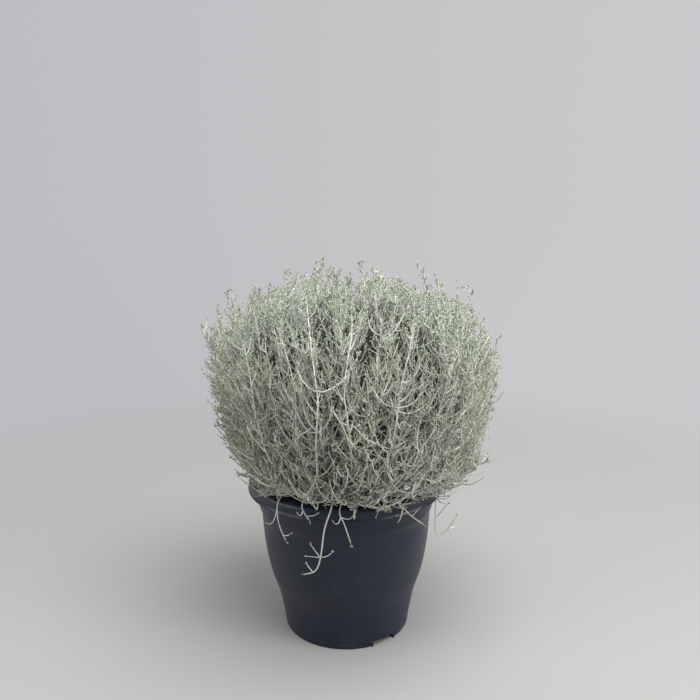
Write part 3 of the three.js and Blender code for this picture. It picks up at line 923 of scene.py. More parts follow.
@dataclass
class PottingSoil:
    """The filling of the pot, with crumbs lying on it and a plain hole for the trunk."""

    pot: Pot
    surface: float = 0.195
    relief: float = 0.0022
    clearance: float = 0.001
    hole_radius: float = 0.009
    hole_bottom: float = 0.1497
    steps: int = 96
    rings: int = 34
    crumbs: int = 420
    crumb_size: Span = (0.0008, 0.0026)
    crumb_stretch: Span = (0.6, 1.3)
    crumb_rise: float = 0.3
    crumb_edges: Span = (0.004, 0.005)
    sharp_angle: float = 50.0

    def surface_height(self, x: float, y: float) -> float:
        """How high the uneven surface lies at a place."""
        swell = noise.noise((x * 28, y * 28, 3.0)) * 0.6
        lumps = noise.noise((x * 150, y * 150, 9.0)) * 0.4
        return self.surface + self.relief * (swell + lumps)

    def outline(self) -> list[Vector]:
        """The filling's outline, from the axis under its floor round to the bottom of the trunk's hole."""
        pot = self.pot
        side = pot.inside_wall(pot.wall + self.clearance)
        mouth = pot.mouth_radius - pot.mouth_taper - self.clearance
        top = [(r, self.surface, 0) for r in np.linspace(mouth, self.hole_radius, self.rings)]
        bottom = pot.foot_radius - pot.wall - pot.draft - self.clearance
        corners = [(0, pot.floor + AIR, 0), (bottom, pot.floor + AIR, 0), *side,
                   (mouth, pot.mouth_bottom, 0), *top,
                   (self.hole_radius, self.hole_bottom, 0), (0, self.hole_bottom, 0)]
        return filleted(corners)

    def build(self, material: Material) -> None:
        """Builds and dresses the soil.

        Args:
            material: Its finish.
        """
        bm = spun(self.outline(), self.steps)
        for vert in bm.verts:
            if abs(vert.co.z - self.surface) < 1e-6 and vert.co.xy.length > self.hole_radius + 0.001:
                vert.co.z = self.surface_height(vert.co.x, vert.co.y)
        grown = self.pot.pocket_shell + AIR
        clear = self.pot.pocket_blocks("clear", grown, self.pot.pocket_height + grown,
                                       self.pot.foot_radius + self.pot.pocket_overshoot)
        mesh = shaped(link_piece("fill", mesh_from("fill", bm)), [(Operation.CUT, clear)])
        bm = bmesh.new()
        bm.from_mesh(mesh)
        bpy.data.meshes.remove(mesh)
        rng = np.random.default_rng(11)
        for _ in range(self.crumbs):
            self.add_crumb(bm, rng)
        soil = link_piece("loose_soil", mesh_from("loose_soil", bm, self.sharp_angle))
        finish_piece(soil, Slot.SOIL, material, ["potting_soil"])

    def add_crumb(self, bm: bmesh.types.BMesh, rng: Draw) -> None:
        """Lays one crumb on the surface, sunk in by a third.

        Args:
            bm: The soil.
            rng: The draw of random numbers.
        """
        nearest = self.hole_radius + self.crumb_edges[0]
        room = self.pot.mouth_radius - self.crumb_edges[1] - nearest
        radius = nearest + room * math.sqrt(rng.random())
        turn = rng.uniform(0, 2 * math.pi)
        size = rng.uniform(*self.crumb_size)
        x, y = radius * math.cos(turn), radius * math.sin(turn)
        place = (Matrix.Translation((x, y, self.surface_height(x, y) + size * self.crumb_rise))
                 @ Matrix.Rotation(rng.uniform(0, math.pi), 4, Vector(rng.normal(size=3)))
                 @ Matrix.Diagonal((*(size * rng.uniform(*self.crumb_stretch, 3)), 1)))
        bmesh.ops.create_icosphere(bm, subdivisions=1, radius=1.0, matrix=place)


# The plant


@dataclass(frozen=True)
class Dome:
    """The dense mass of the bush: widest high up, full at the shoulders and drawn in towards the pot."""

    centre: Point = (0.013, 0.0, 0.362)
    radius: float = 0.188
    rise: float = 0.118
    drop: float = 0.196
    shoulder_fullness: float = 2.3
    skirt_fullness: float = 2.35
    heart: Point = (0.0, 0.0, 0.200)
    hollow_lift: float = 24.0
    hollow_turn: float = 82.0
    hollow_spans: Span = (13.0, 38.0)
    hollow_depth: float = 0.10
    lump_depth: float = 0.022
    lean: float = 0.09
    farthest: float = 0.5
    halvings: int = 24
    jitter: float = 0.03

    def evenness(self, points: Rows) -> Rows:
        """How far out the uneven outline lies in the points' directions, as a factor of the even one.

        Args:
            points: Places in or round the bush.

        Returns:
            Just over or under 1, and less in the hollow at the plant's right side.
        """
        way = unit(points - np.array(self.heart))
        lift = np.degrees(np.arcsin(np.clip(way[..., 2], -1, 1)))
        turn = np.degrees(np.arctan2(way[..., 0], -way[..., 1]))
        aside = (turn - self.hollow_turn + 180) % 360 - 180
        off = (((lift - self.hollow_lift) / self.hollow_spans[0]) ** 2
               + (aside / self.hollow_spans[1]) ** 2)
        x, y, z = way[..., 0], way[..., 1], way[..., 2]
        lumps = (np.sin(9 * x + 2.1) * np.sin(8 * y + 0.6)
                 + np.sin(13 * z + 5 * x) * np.sin(11 * y - 4 * z))
        return 1 - self.hollow_depth * np.exp(-off) + self.lump_depth * lumps

    def share(self, points: Rows) -> Rows:
        """How far out points lie, from 0 in the middle of the dome to 1 on its outline."""
        p = (points - np.array(self.centre)) / self.evenness(points)[..., None]
        p[..., 0] += self.lean * p[..., 2]
        upper = p[..., 2] > 0
        power = np.where(upper, self.shoulder_fullness, self.skirt_fullness)
        high = np.abs(p[..., 2]) / np.where(upper, self.rise, self.drop)
        return ((np.hypot(p[..., 0], p[..., 1]) / self.radius) ** power + high**power) ** (1 / power)

    def reach(self, ways: Rows) -> Rows:
        """The distance from the heart to the outline in each direction."""
        low, high = np.zeros(len(ways)), np.full(len(ways), self.farthest)
        for _ in range(self.halvings):
            middle = (low + high) / 2
            inside = self.share(np.array(self.heart) + ways * middle[:, None]) < 1
            low, high = np.where(inside, middle, low), np.where(inside, high, middle)
        return low

    def even_points(self, count: int, lowest: float, rng: Draw) -> Rows:
        """Points spread evenly over the outline.

        Args:
            count: How many there would be on the whole closed outline.
            lowest: Points under this height are left out.
            rng: The draw of random numbers, for a slight unevenness.

        Returns:
            The points.
        """
        i = np.arange(count) + 0.5
        z = 1 - 2 * i / count
        turn = i * GOLDEN_ANGLE
        flat = np.sqrt(1 - z**2)
        ways = unit(np.stack((flat * np.cos(turn), flat * np.sin(turn), z), axis=1)
                    + rng.normal(0, self.jitter, (count, 3)))
        tall = np.where(ways[:, 2:] > 0, self.rise, self.drop)
        offsets = ways * np.concatenate((np.full((count, 2), self.radius), tall), axis=1)
        for _ in range(3):
            offsets = offsets / self.share(np.array(self.centre) + offsets)[:, None]
        points = np.array(self.centre) + offsets
        return points[points[:, 2] > lowest]


@dataclass(frozen=True)
class StemKind:
    """How one order of stems looks and grows."""

    sides: int
    rings: int
    radii: Span
    age: Span
    ends: Span = (0.05, 0.05)
    bend: float = 0.0
    wobble: float = 0.0

    @property
    def stops(self) -> Rows:
        """Where this order's rings stand, as shares of the length."""
        return stations(self.rings, *self.ends)

    def girths(self, count: int, scale: Rows | float = 1.0) -> Rows:
        """Radii at the rings of a number of stems, pointed at both ends.

        Args:
            count: How many stems.
            scale: A factor for each stem.

        Returns:
            Stems by rings.
        """
        girth = np.tile(ramp(self.radii, self.stops), (count, 1)) * np.reshape(scale, (-1, 1))
        girth[:, [0, -1]] = 0
        return girth


LEADER = StemKind(4, 13, radii=(0.00112, 0.00068), age=(0.9, 0.55))
FACE_ARC = StemKind(4, 13, radii=(0.00100, 0.00078), age=(0.75, 0.6))
FESTOON = StemKind(4, 12, radii=(0.00098, 0.0007), age=(0.85, 0.65), bend=0.24, wobble=0.035)
SHOOT = StemKind(3, 8, radii=(0.00090, 0.0006), age=(1.0, 0.55),
                 ends=(0.04, 0.15), bend=0.25, wobble=0.03)
TWIGLET = StemKind(3, 5, radii=(0.00074, 0.00056), age=(0.42, 0.0),
                   ends=(0.08, 0.25), bend=0.32, wobble=0.04)
TIP_TWIG = StemKind(3, 4, radii=(0.00078, 0.0007), age=(0.4, 0.0),
                    ends=(0.1, 0.2), bend=0.2, wobble=0.08)
LEAF = StemKind(3, 3, radii=(0.00092, 0.00092), age=(0.2, 0.0))


@dataclass(frozen=True)
class Spray:
    """One spray of the bush: the share of the directions that lie nearest to its axis."""

    name: str
    axis: Point
    slot: Slot
    seed: int


@dataclass(frozen=True)
class Ring:
    """A ring of sprays at one elevation."""

    name: str
    count: int
    elevation: float
    turn: float
    slot: Slot

    def sprays(self) -> list[Spray]:
        """The sprays of this ring."""
        made = []
        for i in range(self.count):
            name = f"spray_{self.name}_{i + 1}" if self.count > 1 else f"spray_{self.name}"
            way = heading(self.elevation, self.turn + i * 360 / self.count)
            made.append(Spray(name, tuple(way), self.slot, int(self.elevation) * 100 + i))
        return made


@dataclass(frozen=True)
class Sprig:
    """A sprig that trails over the lip, and its side twigs: where on the route, the bend and the tip."""

    spray: str
    route: Rows
    twigs: list[tuple[float, Rows]]


RINGS = [
    Ring("skirt", 9, 15, -8, Slot.LOWER_FELT),
    Ring("side", 9, 40, 13, Slot.LOWER_FELT),
    Ring("shoulder", 6, 64, 3, Slot.UPPER_FELT),
    Ring("top", 1, 90, 0, Slot.UPPER_FELT),
]

SPRIGS = [
    Sprig("spray_skirt_9",
          mm((-66, -76, 230), (-80, -100, 227), (-86, -113, 217), (-84, -114, 193), (-75, -118, 171)),
          [(0.55, mm((-92, -106, 184), (-102, -97, 188))),
           (0.88, mm((-74, -120, 180), (-70, -121, 184)))]),
    Sprig("spray_skirt_1",
          mm((-40, -92, 236), (-49, -118, 233), (-54, -129, 222), (-44, -135, 206)),
          [(0.72, mm((-56, -131, 208), (-60, -128, 215))),
           (0.85, mm((-40, -136, 213), (-34, -137, 218)))]),
    Sprig("spray_skirt_1",
          mm((-10, -100, 236), (-15, -126, 233), (-19, -140, 222), (-27, -138, 196), (-32, -137, 160),
             (-39, -135, 141), (-53, -130, 134)),
          [(0.66, mm((-42, -135, 160), (-51, -131, 159))),
           (0.66, mm((-40, -136, 170), (-44, -134, 176))),
           (0.66, mm((-22, -139, 161), (-17, -140, 169))),
           (0.86, mm((-48, -133, 146), (-50, -131, 150)))]),
    Sprig("spray_skirt_1",
          mm((4, -100, 238), (-3, -128, 233), (-8, -141, 221), (-2, -141, 204), (6, -141, 178)),
          [(0.62, mm((-10, -140, 200), (-16, -139, 208))),
           (0.6, mm((6, -141, 206), (12, -140, 222)))]),
    Sprig("spray_skirt_2",
          mm((44, -88, 240), (56, -114, 237), (66, -127, 227), (78, -119, 208), (101, -100, 183)),
          [(0.6, mm((68, -126, 206), (64, -125, 200))),
           (0.78, mm((86, -113, 206), (91, -109, 210)))]),
    Sprig("spray_skirt_3",
          mm((96, -52, 236), (110, -66, 231), (117, -78, 222), (116, -80, 190), (118, -80, 162),
             (132, -76, 165), (146, -70, 184)),
          [(0.55, mm((128, -78, 196), (134, -76, 204))),
           (0.86, mm((142, -70, 166), (148, -66, 168)))]),
]


@dataclass(frozen=True)
class FaceStem:
    """A stem that stands out on the plant's face, by the points that it passes."""

    route: Rows
    branching: bool = False


FACE_STEMS = [
    FaceStem(mm((-60, -178, 375), (-54, -182, 358), (-46, -182, 342), (-36, -185, 334),
                (-20, -192, 348), (-12, -195, 371))),
    FaceStem(mm((-85, -151, 323), (-71, -150, 295), (-55, -155, 283), (-37, -156, 271),
                (-22, -165, 282), (-9, -181, 308))),
    FaceStem(mm((7, -194, 348), (22, -191, 330), (34, -187, 323), (52, -182, 315),
                (71, -175, 323))),
    FaceStem(mm((-16, -195, 367), (-1, -193, 341), (7, -184, 309), (23, -167, 275),
                (45, -155, 259))),
    FaceStem(mm((28, -187, 390), (38, -186, 373), (54, -181, 363), (75, -172, 364),
                (90, -167, 379))),
    FaceStem(mm((-54, -174, 408), (-45, -184, 392), (-28, -192, 384), (-8, -192, 392),
                (5, -187, 405))),
    FaceStem(mm((-113, -137, 337), (-99, -141, 317), (-82, -148, 308), (-61, -167, 322))),
    FaceStem(mm((62, -172, 296), (78, -154, 274), (99, -137, 270), (114, -128, 281))),
    FaceStem(mm((-33, -155, 268), (-33, -183, 327), (-30, -192, 375), (-36, -177, 417),
                (-41, -140, 450), (-46, -95, 478)), branching=True),
    FaceStem(mm((45, -155, 259), (49, -181, 307), (57, -182, 343), (61, -177, 382),
                (73, -162, 424), (82, -116, 457)), branching=True),
    FaceStem(mm((7, -173, 287), (4, -193, 341), (-1, -194, 376), (1, -186, 408),
                (8, -161, 442), (8, -118, 474)), branching=True),
    FaceStem(mm((-85, -135, 274), (-99, -140, 313), (-106, -143, 351), (-111, -136, 391),
                (-122, -107, 427)), branching=True),
    FaceStem(mm((-53, -164, 302), (-56, -178, 343), (-55, -181, 378), (-64, -165, 415),
                (-77, -131, 443)), branching=True),
    FaceStem(mm((99, -151, 296), (104, -159, 335), (113, -158, 371), (123, -150, 404),
                (140, -111, 432)), branching=True),
]

OLD_STEM = mm((-22, -176, 400), (-21, -189, 369), (-17, -189, 345), (-17, -181, 319), (-16, -165, 286),
              (-14, -141, 248), (-10, -100, 226))


@dataclass
class WoodyCrown:
    """The short trunk in the soil and the bough that carries each spray."""

    dome: Dome
    root: float = 0.150
    top: float = 0.232
    trunk_radii: tuple[float, ...] = (0.0, 0.0084, 0.0086, 0.0080, 0.0084, 0.0066, 0.0052, 0.0)
    bough_reach: float = 0.058
    bough_radii: Span = (0.0036, 0.0027)
    bough_roots: Span = (0.205, 0.226)
    bough_bend: float = 0.55
    girth_scatter: Span = (0.88, 1.14)
    kink: float = 0.0009
    sides: int = 10
    rings: int = 9
    old_stem_radii: Span = (0.0011, 0.0019)
    old_stem_swell: Span = (0.12, 2.1)
    old_stem_sides: int = 8

    def build(self, sprays: list[Spray], material: Material) -> None:
        """Builds and dresses the crown.

        Args:
            sprays: The sprays that the boughs carry.
            material: Its finish.
        """
        rng = np.random.default_rng(5)
        bundle = StemBundle("bark_crown")
        heights = np.linspace(self.root, self.top, len(self.trunk_radii))
        trunk = np.zeros((1, len(heights), 3))
        trunk[0, :, 2] = heights
        bundle.add(self.sides, trunk, np.array([self.trunk_radii]), np.zeros(trunk.shape))
        rings = stations(self.rings)
        ways = np.array([spray.axis for spray in sprays])
        ends = np.array(self.dome.heart) + ways * self.bough_reach
        roots = np.zeros(ends.shape)
        roots[:, 2] = ramp(self.bough_roots, ways[:, 2])
        routes = bezier(roots, ends - ways * self.bough_reach * self.bough_bend, ends, rings)
        routes[:, 2:-2] += rng.normal(0, self.kink, routes[:, 2:-2].shape)
        girths = (np.tile(ramp(self.bough_radii, rings), (len(ends), 1))
                  * spread(rng, self.girth_scatter, (len(ends), self.rings)))
        girths[:, [0, -1]] = 0
        bundle.add(self.sides, routes, girths, np.zeros(routes.shape))
        finish_piece(bundle.sweep(), Slot.BARK, material, ["woody_crown"])

    def build_old_stem(self, spray: str, material: Material) -> None:
        """Builds and dresses the bare old stem that shows on the plant's face.

        Args:
            spray: The construction node that it belongs to.
            material: Its finish.
        """
        route = rounded_route(OLD_STEM, OLD_STEM_STEPS)
        depth, pace = self.old_stem_swell
        swell = 1 + depth * np.sin(np.arange(len(route)) * pace)
        girth = np.linspace(*self.old_stem_radii, len(route)) * swell
        girth[[0, -1]] = 0
        bundle = StemBundle("old_stem")
        bundle.add(self.old_stem_sides, route[None], girth[None], np.zeros((1, len(route), 3)))
        finish_piece(bundle.sweep(), Slot.BARK, material, [spray])


@dataclass
class Bush:
    """The foliage: long leaders, side shoots, twiglets and scale leaves, in one piece for each spray."""

    dome: Dome
    pot: Pot
    leaders: int = 560
    lowest_tip: float = 0.219
    bough_reach: float = 0.058
    edge: Span = (0.90, 1.10)
    side_poke: Span = (0.0, 0.036)
    top_poke: Span = (0.006, 0.042)
    nodes: int = 13
    node_places: Span = (0.20, 0.93)
    shoot_lengths: Span = (0.074, 0.026)
    long_shoots: float = 0.16
    twiglets: int = 3
    twiglet_lengths: Span = (0.011, 0.032)
    tip_twigs: int = 7
    tip_stretch: float = 0.042
    tip_twig_lengths: Span = (0.004, 0.0085)
    festoons: int = 14
    front_festoons: int = 70
    festoon_lengths: Span = (0.05, 0.13)
    leaf_lengths: Span = (0.0028, 0.0048)
    budding: float = 0.93
    low_poke: float = 1.0
    face_root: float = 0.03
    limb_lean: float = 0.08
    limb_reach: float = 0.97
    limb_bend: float = 0.45
    leader_roots: Span = (0.02, 0.42)
    leader_sag: Span = (18, 44)
    leader_turn: float = 0.14
    leader_reach: Span = (0.74, 0.97)
    lowest_bend: float = 9.0
    leader_kink: float = 0.0008
    bend_tries: int = 10
    bend_lift: float = 0.008
    outward_pull: float = 0.5
    upward_pull: float = 0.75
    trims: int = 4
    trim: float = 0.7
    shoot_angles: Span = (42, 92)
    shoot_scatter: Span = (0.65, 1.25)
    shoot_shortening: float = 1.15
    long_shoot: float = 1.7
    twiglet_places: Span = (0.28, 0.92)
    twiglet_angles: Span = (38, 95)
    tip_twig_angles: Span = (40, 75)
    tip_twig_turns: float = 0.5
    festoon_places: Span = (0.55, 0.88)
    festoon_angles: Span = (62, 100)
    festoon_fall: float = 0.6
    leaf_angles: Span = (8, 32)
    leaf_belly: float = 0.55
    girth_scatter: Span = (0.82, 1.15)
    age_scatter: float = 0.1
    sprig_root: float = 0.16
    sprig_radii: Span = (0.0012, 0.0008)
    sprig_age: Span = (0.8, 0.3)
    sprig_tone: float = 0.6
    poke_power: float = 2.6
    pot_air: float = 0.002
    mouth_air: float = 0.004
    rim_air: float = 0.0028
    outside_floor: float = 0.207
    soil_floor: float = 0.1995

    def clears_pot(self, routes: Rows) -> Rows:
        """Which stems stay off the pot and the soil.

        Args:
            routes: Stems by points by three.

        Returns:
            True for each stem that does.
        """
        out = np.hypot(routes[..., 0], routes[..., 1])
        z = routes[..., 2]
        lip = self.pot.lip_radius + self.pot_air
        mouth = self.pot.mouth_radius - self.mouth_air
        low = np.where(out < mouth, self.soil_floor, self.pot.rim_height + self.rim_air)
        low = np.where(out > lip, self.outside_floor, low)
        return (z > low).all(axis=1)

    def kept(self, routes: Rows) -> Rows:
        """The stems that stay off the pot and the soil."""
        return routes[self.clears_pot(routes)]

    def depths(self, routes: Rows) -> Rows:
        """How deep inside the bush points lie, from 0 at the outline to 1."""
        # the felt finishes turn this depth into painted shade
        return np.clip(1 - self.dome.share(routes), 0, 1)

    def looks(self, kind: StemKind, routes: Rows, rng: Draw) -> Rows:
        """Age, depth and chance at every ring of some stems.

        Args:
            kind: Their order.
            routes: Stems by points by three.
            rng: The draw of random numbers.

        Returns:
            Stems by points by three.
        """
        count = len(routes)
        age = np.tile(ramp(kind.age, kind.stops), (count, 1)) + rng.normal(0, self.age_scatter, (count, 1))
        chance = np.tile(rng.random((count, 1)), (1, kind.rings))
        return np.clip(np.stack((age, self.depths(routes), chance), axis=2), 0, 1)

    def grow(self, kind: StemKind, starts: Rows, ways: Rows, lengths: Rows, rng: Draw) -> Rows:
        """Grows stems that leave sideways and bend up and outwards, inside the dome.

        Args:
            kind: Their order.
            starts: Where they start.
            ways: The directions that they start in.
            lengths: Their lengths.
            rng: The draw of random numbers.

        Returns:
            Stems by rings by three.
        """
        legs = np.diff(kind.stops)
        outward = unit(starts - np.array(self.dome.heart))
        pull = unit(outward * self.outward_pull + UP * self.upward_pull)
        points, way = [starts], ways
        for leg in legs:
            drift = kind.bend * pull + rng.normal(0, kind.wobble, way.shape)
            way = unit(way + drift * leg * len(legs))
            points.append(points[-1] + way * (lengths * leg)[:, None])
        routes = np.stack(points, axis=1)
        limit = np.maximum(spread(rng, self.edge, len(starts)), self.dome.share(starts) + 0.03)
        for _ in range(self.trims):
            outside = self.dome.share(routes[:, -1]) > limit
            first = starts[outside, None]
            routes[outside] = first + (routes[outside] - first) * self.trim
        return routes

    def limb(self, spray: Spray) -> Rows:
        """The central limb of a spray, from its bough out to the outline."""
        axis = np.array([spray.axis])
        lean = unit(axis + UP * self.limb_lean)
        start = np.array(self.dome.heart) + axis * (self.bough_reach + AIR)
        end = np.array(self.dome.heart) + lean * self.dome.reach(lean)[:, None] * self.limb_reach
        bend = start + axis * np.linalg.norm(end - start) * self.limb_bend
        return bezier(start, bend, end, LEADER.stops)

    def leader_routes(self, tips: Rows, limb: Rows, rng: Draw) -> Rows:
        """Leaders that root on the limb, sweep out low and then turn up to their tips.

        Args:
            tips: Where they end.
            limb: The limb's route.
            rng: The draw of random numbers.

        Returns:
            Leaders by rings by three.
        """
        count = len(tips)
        heart = np.array(self.dome.heart)
        roots, _ = read_along(limb, LEADER.stops, spread(rng, self.leader_roots, (1, count)))
        out = tips - heart
        lift = np.arctan2(out[:, 2], np.hypot(out[:, 0], out[:, 1]))
        sag = np.radians(spread(rng, self.leader_sag, count)) * np.cos(lift) ** 0.5
        turn = np.arctan2(out[:, 1], out[:, 0]) + rng.normal(0, self.leader_turn, count)
        low = np.maximum(lift - sag, math.radians(self.lowest_bend))
        way = np.stack((np.cos(low) * np.cos(turn), np.cos(low) * np.sin(turn), np.sin(low)), axis=1)
        reach = self.dome.reach(way) * spread(rng, self.leader_reach, count)
        bends = heart + way * reach[:, None]
        for _ in range(self.bend_tries):
            routes = bezier(roots[0], bends, tips, LEADER.stops)
            bends[~self.clears_pot(routes)] += UP * self.bend_lift
        kinks = rng.normal(0, self.leader_kink, routes[:, 2:-1].shape)
        routes[:, 2:-1] += np.cumsum(kinks, axis=1)
        return self.kept(routes)

    def shoots_on(self, parents: Rows, rng: Draw) -> Rows:
        """Side shoots, alternate along the leaders and shorter towards their tips."""
        count = len(parents)
        step = (self.node_places[1] - self.node_places[0]) / (self.nodes - 1)
        places = np.tile(np.linspace(*self.node_places, self.nodes), (count, 1))
        places = np.clip(places + rng.uniform(-0.4, 0.4, places.shape) * step, 0.05, 0.975)
        starts, ways = read_along(parents, LEADER.stops, places)
        turns = rng.uniform(0, 2 * math.pi, (count, 1)) + np.arange(self.nodes) * GOLDEN_ANGLE
        angles = np.radians(spread(rng, self.shoot_angles, places.size))
        lengths = (ramp(self.shoot_lengths, places.ravel() ** self.shoot_shortening)
                   * spread(rng, self.shoot_scatter, places.size))
        side = swung(ways.reshape(-1, 3), angles, turns.ravel())
        long = rng.random(len(lengths)) < self.long_shoots
        lengths = np.where(long, lengths * self.long_shoot, lengths)
        return self.grow(SHOOT, starts.reshape(-1, 3), side, lengths, rng)

    def twiglets_on(self, parents: Rows, rng: Draw) -> Rows:
        """Short twiglets along the side shoots."""
        places = spread(rng, self.twiglet_places, (len(parents), self.twiglets))
        starts, ways = read_along(parents, SHOOT.stops, places)
        angles = np.radians(spread(rng, self.twiglet_angles, places.size))
        turns = rng.uniform(0, 2 * math.pi, places.size)
        side = swung(ways.reshape(-1, 3), angles, turns)
        lengths = spread(rng, self.twiglet_lengths, places.size)
        return self.grow(TWIGLET, starts.reshape(-1, 3), side, lengths, rng)

    def tip_twigs_on(self, parents: Rows, rng: Draw) -> Rows:
        """Very short twigs on the last stretch of each leader, on one side and the other by turns."""
        count = len(parents)
        lengths = np.linalg.norm(np.diff(parents, axis=1), axis=2).sum(axis=1)
        back = (np.linspace(self.tip_stretch, 0.004, self.tip_twigs)
                + rng.uniform(-0.002, 0.002, (count, self.tip_twigs)))
        places = 1 - back / lengths[:, None]
        starts, ways = read_along(parents, LEADER.stops, places)
        turns = rng.uniform(0, 2 * math.pi, (count, 1)) + np.arange(self.tip_twigs) * math.pi
        turns = turns + rng.normal(0, self.tip_twig_turns, turns.shape)
        angles = np.radians(spread(rng, self.tip_twig_angles, places.size))
        side = swung(ways.reshape(-1, 3), angles, turns.ravel())
        lengths = spread(rng, self.tip_twig_lengths, places.size)
        return self.grow(TIP_TWIG, starts.reshape(-1, 3), side, lengths, rng)

    def festoons_in(self, spray: Spray, leaders: Rows, rng: Draw) -> Rows:
        """Long pale stems that hang across the face of the spray and turn up at both ends."""
        front = max(0.0, float(np.dot(spray.axis, heading(10, 5))))
        count = self.festoons + round(self.front_festoons * front)
        parents = leaders[rng.integers(0, len(leaders), count)]
        starts, _ = read_along(parents, LEADER.stops, spread(rng, self.festoon_places, (count, 1)))
        outward = unit(starts[:, 0] - np.array(self.dome.heart))
        angles = np.radians(spread(rng, self.festoon_angles, count))
        side = swung(outward, angles, rng.uniform(0, 2 * math.pi, count))
        side[:, 2] = -np.abs(side[:, 2]) * self.festoon_fall
        lengths = spread(rng, self.festoon_lengths, count)
        return self.grow(FESTOON, starts[:, 0], unit(side), lengths, rng)

    def leaves_at(self, routes: Rows, per_tip: int, back: float, rng: Draw) -> Rows:
        """Tiny scale leaves round the tips of stems.

        Args:
            routes: The stems.
            per_tip: Leaves on each.
            back: How far back from the tip they stand.
            rng: The draw of random numbers.

        Returns:
            Leaves by three rings by three.
        """
        tips = np.repeat(routes[:, -1], per_tip, axis=0)
        ways = np.repeat(unit(routes[:, -1] - routes[:, -3]), per_tip, axis=0)
        count = len(tips)
        starts = tips - ways * (rng.random(count) * back)[:, None]
        turns = (np.tile(np.arange(per_tip) * GOLDEN_ANGLE, len(routes))
                 + rng.uniform(0, 2 * math.pi, count))
        side = swung(ways, np.radians(spread(rng, self.leaf_angles, count)), turns)
        leaf = side * spread(rng, self.leaf_lengths, count)[:, None]
        return np.stack((starts, starts + leaf * self.leaf_belly, starts + leaf), axis=1)

    def add_stems(self, bundle: StemBundle, kind: StemKind, routes: Rows, rng: Draw) -> None:
        """Adds stems of one order to a piece."""
        scale = spread(rng, self.girth_scatter, len(routes))
        bundle.add(kind.sides, routes, kind.girths(len(routes), scale), self.looks(kind, routes, rng))

    def add_sprig(self, bundle: StemBundle, sprig: Sprig, limb: Rows, rng: Draw) -> None:
        """Adds one trailing sprig with its side twigs and leaves.

        Args:
            bundle: The spray's stems.
            sprig: The sprig.
            limb: The route of the limb that it grows from.
            rng: The draw of random numbers.
        """
        start, _ = read_along(limb, LEADER.stops, np.array([[self.sprig_root]]))
        route = rounded_route(np.vstack((start[0], sprig.route)), SPRIG_STEPS)
        girth = np.linspace(*self.sprig_radii, len(route))
        girth[[0, -1]] = 0
        age = np.linspace(*self.sprig_age, len(route))
        look = np.stack((age, np.zeros(len(route)), np.full(len(route), self.sprig_tone)), axis=1)
        bundle.add(LEADER.sides, route[None], girth[None], look[None])
        body = rounded_route(sprig.route, SPRIG_STEPS)
        tips = [route[None, -3:]]
        for share, (bend, tip) in sprig.twigs:
            root = body[round(share * (len(body) - 1))]
            twig = bezier(root[None], bend[None], tip[None], SHOOT.stops)
            self.add_stems(bundle, SHOOT, twig, rng)
            tips.append(twig[:, -3:])
        self.add_stems(bundle, LEAF, self.leaves_at(np.concatenate(tips), 3, 0.003, rng), rng)

    def face_routes(self, stems: list[FaceStem]) -> Rows:
        """The routes of stems on the face, each rooted deeper in the bush.

        Args:
            stems: The stems.

        Returns:
            Stems by the rings of a leader by three.
        """
        made = []
        for stem in stems:
            first = stem.route[0]
            root = first + unit(np.array(self.dome.heart) - first) * self.face_root
            fine = rounded_route(np.vstack((root, stem.route)), FACE_STEPS)
            gone = np.concatenate(([0.0], np.cumsum(np.linalg.norm(np.diff(fine, axis=0), axis=1))))
            stops = LEADER.stops * gone[-1]
            made.append(np.stack([np.interp(stops, gone, fine[:, k]) for k in range(3)], axis=1))
        return np.array(made).reshape(-1, LEADER.rings, 3)

    def build_spray(self, spray: Spray, tips: Rows, face: list[FaceStem], material: Material) -> None:
        """Builds and dresses one spray.

        Args:
            spray: The spray.
            tips: Where its leaders end.
            face: Its stems on the plant's face.
            material: Its finish.
        """
        rng = np.random.default_rng(spray.seed)
        limb = self.limb(spray)
        leaders = np.concatenate((limb, self.leader_routes(tips, limb, rng),
                                  self.face_routes([stem for stem in face if stem.branching])))
        shoots = self.kept(self.shoots_on(leaders, rng))
        twiglets = self.kept(self.twiglets_on(shoots, rng))
        festoons = self.kept(self.festoons_in(spray, leaders, rng))
        tip_twigs = self.kept(self.tip_twigs_on(leaders, rng))
        bundle = StemBundle(spray.name.replace("spray", "twigs"))
        for kind, routes in ((LEADER, leaders), (SHOOT, shoots), (TWIGLET, twiglets),
                             (FESTOON, festoons), (TIP_TWIG, tip_twigs)):
            self.add_stems(bundle, kind, routes, rng)
        hanging = self.face_routes([stem for stem in face if not stem.branching])
        self.add_stems(bundle, FACE_ARC, hanging, rng)
        buds = twiglets[self.dome.share(twiglets[:, -1]) > self.budding]
        for routes, per_tip, back in ((leaders, 7, 0.007), (shoots, 1, 0.003), (festoons, 3, 0.004),
                                      (buds, 1, 0.002), (tip_twigs, 3, 0.003)):
            self.add_stems(bundle, LEAF, self.leaves_at(routes, per_tip, back, rng), rng)
        for sprig in SPRIGS:
            if sprig.spray == spray.name:
                self.add_sprig(bundle, sprig, limb, rng)
        finish_piece(bundle.sweep(), spray.slot, material, [spray.name])

